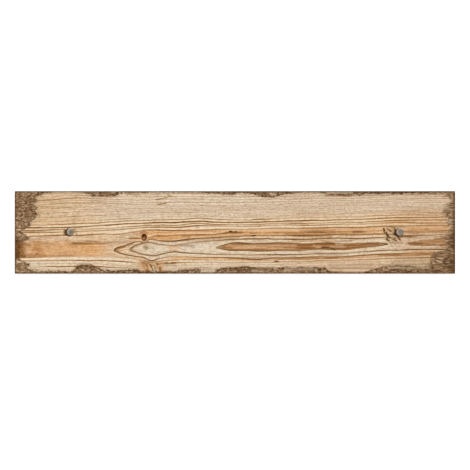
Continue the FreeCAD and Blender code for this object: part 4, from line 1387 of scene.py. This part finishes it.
def seen_rays(tree):
    """1 for a ray that shows the floor or surround itself, in a picture, in gloss or through glass."""
    rays = tree.nodes.new("ShaderNodeLightPath").outputs
    gloss_or_glass = reckon("MAXIMUM", rays["Is Glossy Ray"], rays["Is Transmission Ray"])
    return reckon("MAXIMUM", rays["Is Camera Ray"], gloss_or_glass)


floor_mesh = bpy.data.meshes.new("studio_floor")
floor_corners = [(x * FLOOR_HALF, y * FLOOR_HALF, 0.0) for x, y in ((-1, -1), (1, -1), (1, 1), (-1, 1))]
floor_mesh.from_pydata(floor_corners, [], [(0, 1, 2, 3)])
studio_floor = bpy.data.objects.new("studio_floor", floor_mesh)
bpy.context.scene.collection.objects.link(studio_floor)
floor_paint = bpy.data.materials.new("studio_white")
tree, surface = emptied_tree(floor_paint, "ShaderNodeOutputMaterial")
matte = add_node(tree, "ShaderNodeBsdfDiffuse", {"Color": FLOOR_GREY})
glow = add_node(tree, "ShaderNodeEmission", {"Color": WHITE, "Strength": times(seen_rays(tree), FLOOR_GLOW)})
feed(surface, add_node(tree, "ShaderNodeAddShader", {0: matte.outputs[0], 1: glow.outputs[0]}).outputs[0])
floor_mesh.materials.append(floor_paint)

world = bpy.data.worlds.new("studio_surround")
bpy.context.scene.world = world
tree, surface = emptied_tree(world, "ShaderNodeOutputWorld")
strength = plus(times(seen_rays(tree), 1.0 - SURROUND_LIGHT), SURROUND_LIGHT)
feed(surface, add_node(tree, "ShaderNodeBackground", {"Color": WHITE, "Strength": strength}).outputs[0])

key = bpy.data.lights.new("key_light", "SUN")
key.energy = KEY_LIGHT_SHARE * math.pi / math.sin(KEY_HEIGHT)
key.angle = KEY_SOFTNESS
key_light = bpy.data.objects.new("key_light", key)
key_light.rotation_euler = (math.pi / 2 - KEY_HEIGHT, 0.0, math.pi - KEY_BEARING)
bpy.context.scene.collection.objects.link(key_light)

# The camera
# It looks straight down on the face, as the picture does, from far enough that the edges stay square. The
# plank lies a little above the middle of the frame.
PICTURE_PIXELS = 470
PLANK_LENGTH_PIXELS = 440.6
PLANK_MIDDLE_ABOVE_CENTRE_PIXELS = 2.6
LENS = 100.0
SENSOR = 36.0
mm_per_pixel = PLANK_LENGTH / PLANK_LENGTH_PIXELS
frame_width = PICTURE_PIXELS * mm_per_pixel
camera_height = PLANK_THICKNESS + frame_width * LENS / SENSOR
camera_data = bpy.data.cameras.new("camera")
camera_data.lens = LENS
camera_data.sensor_width = SENSOR
camera_data.clip_end = 100.0
camera = bpy.data.objects.new("camera", camera_data)
camera.location = (0.0, -PLANK_MIDDLE_ABOVE_CENTRE_PIXELS * mm_per_pixel * MM, camera_height * MM)
bpy.context.scene.collection.objects.link(camera)
bpy.context.scene.camera = camera
bpy.context.scene.view_settings.view_transform = "Standard"
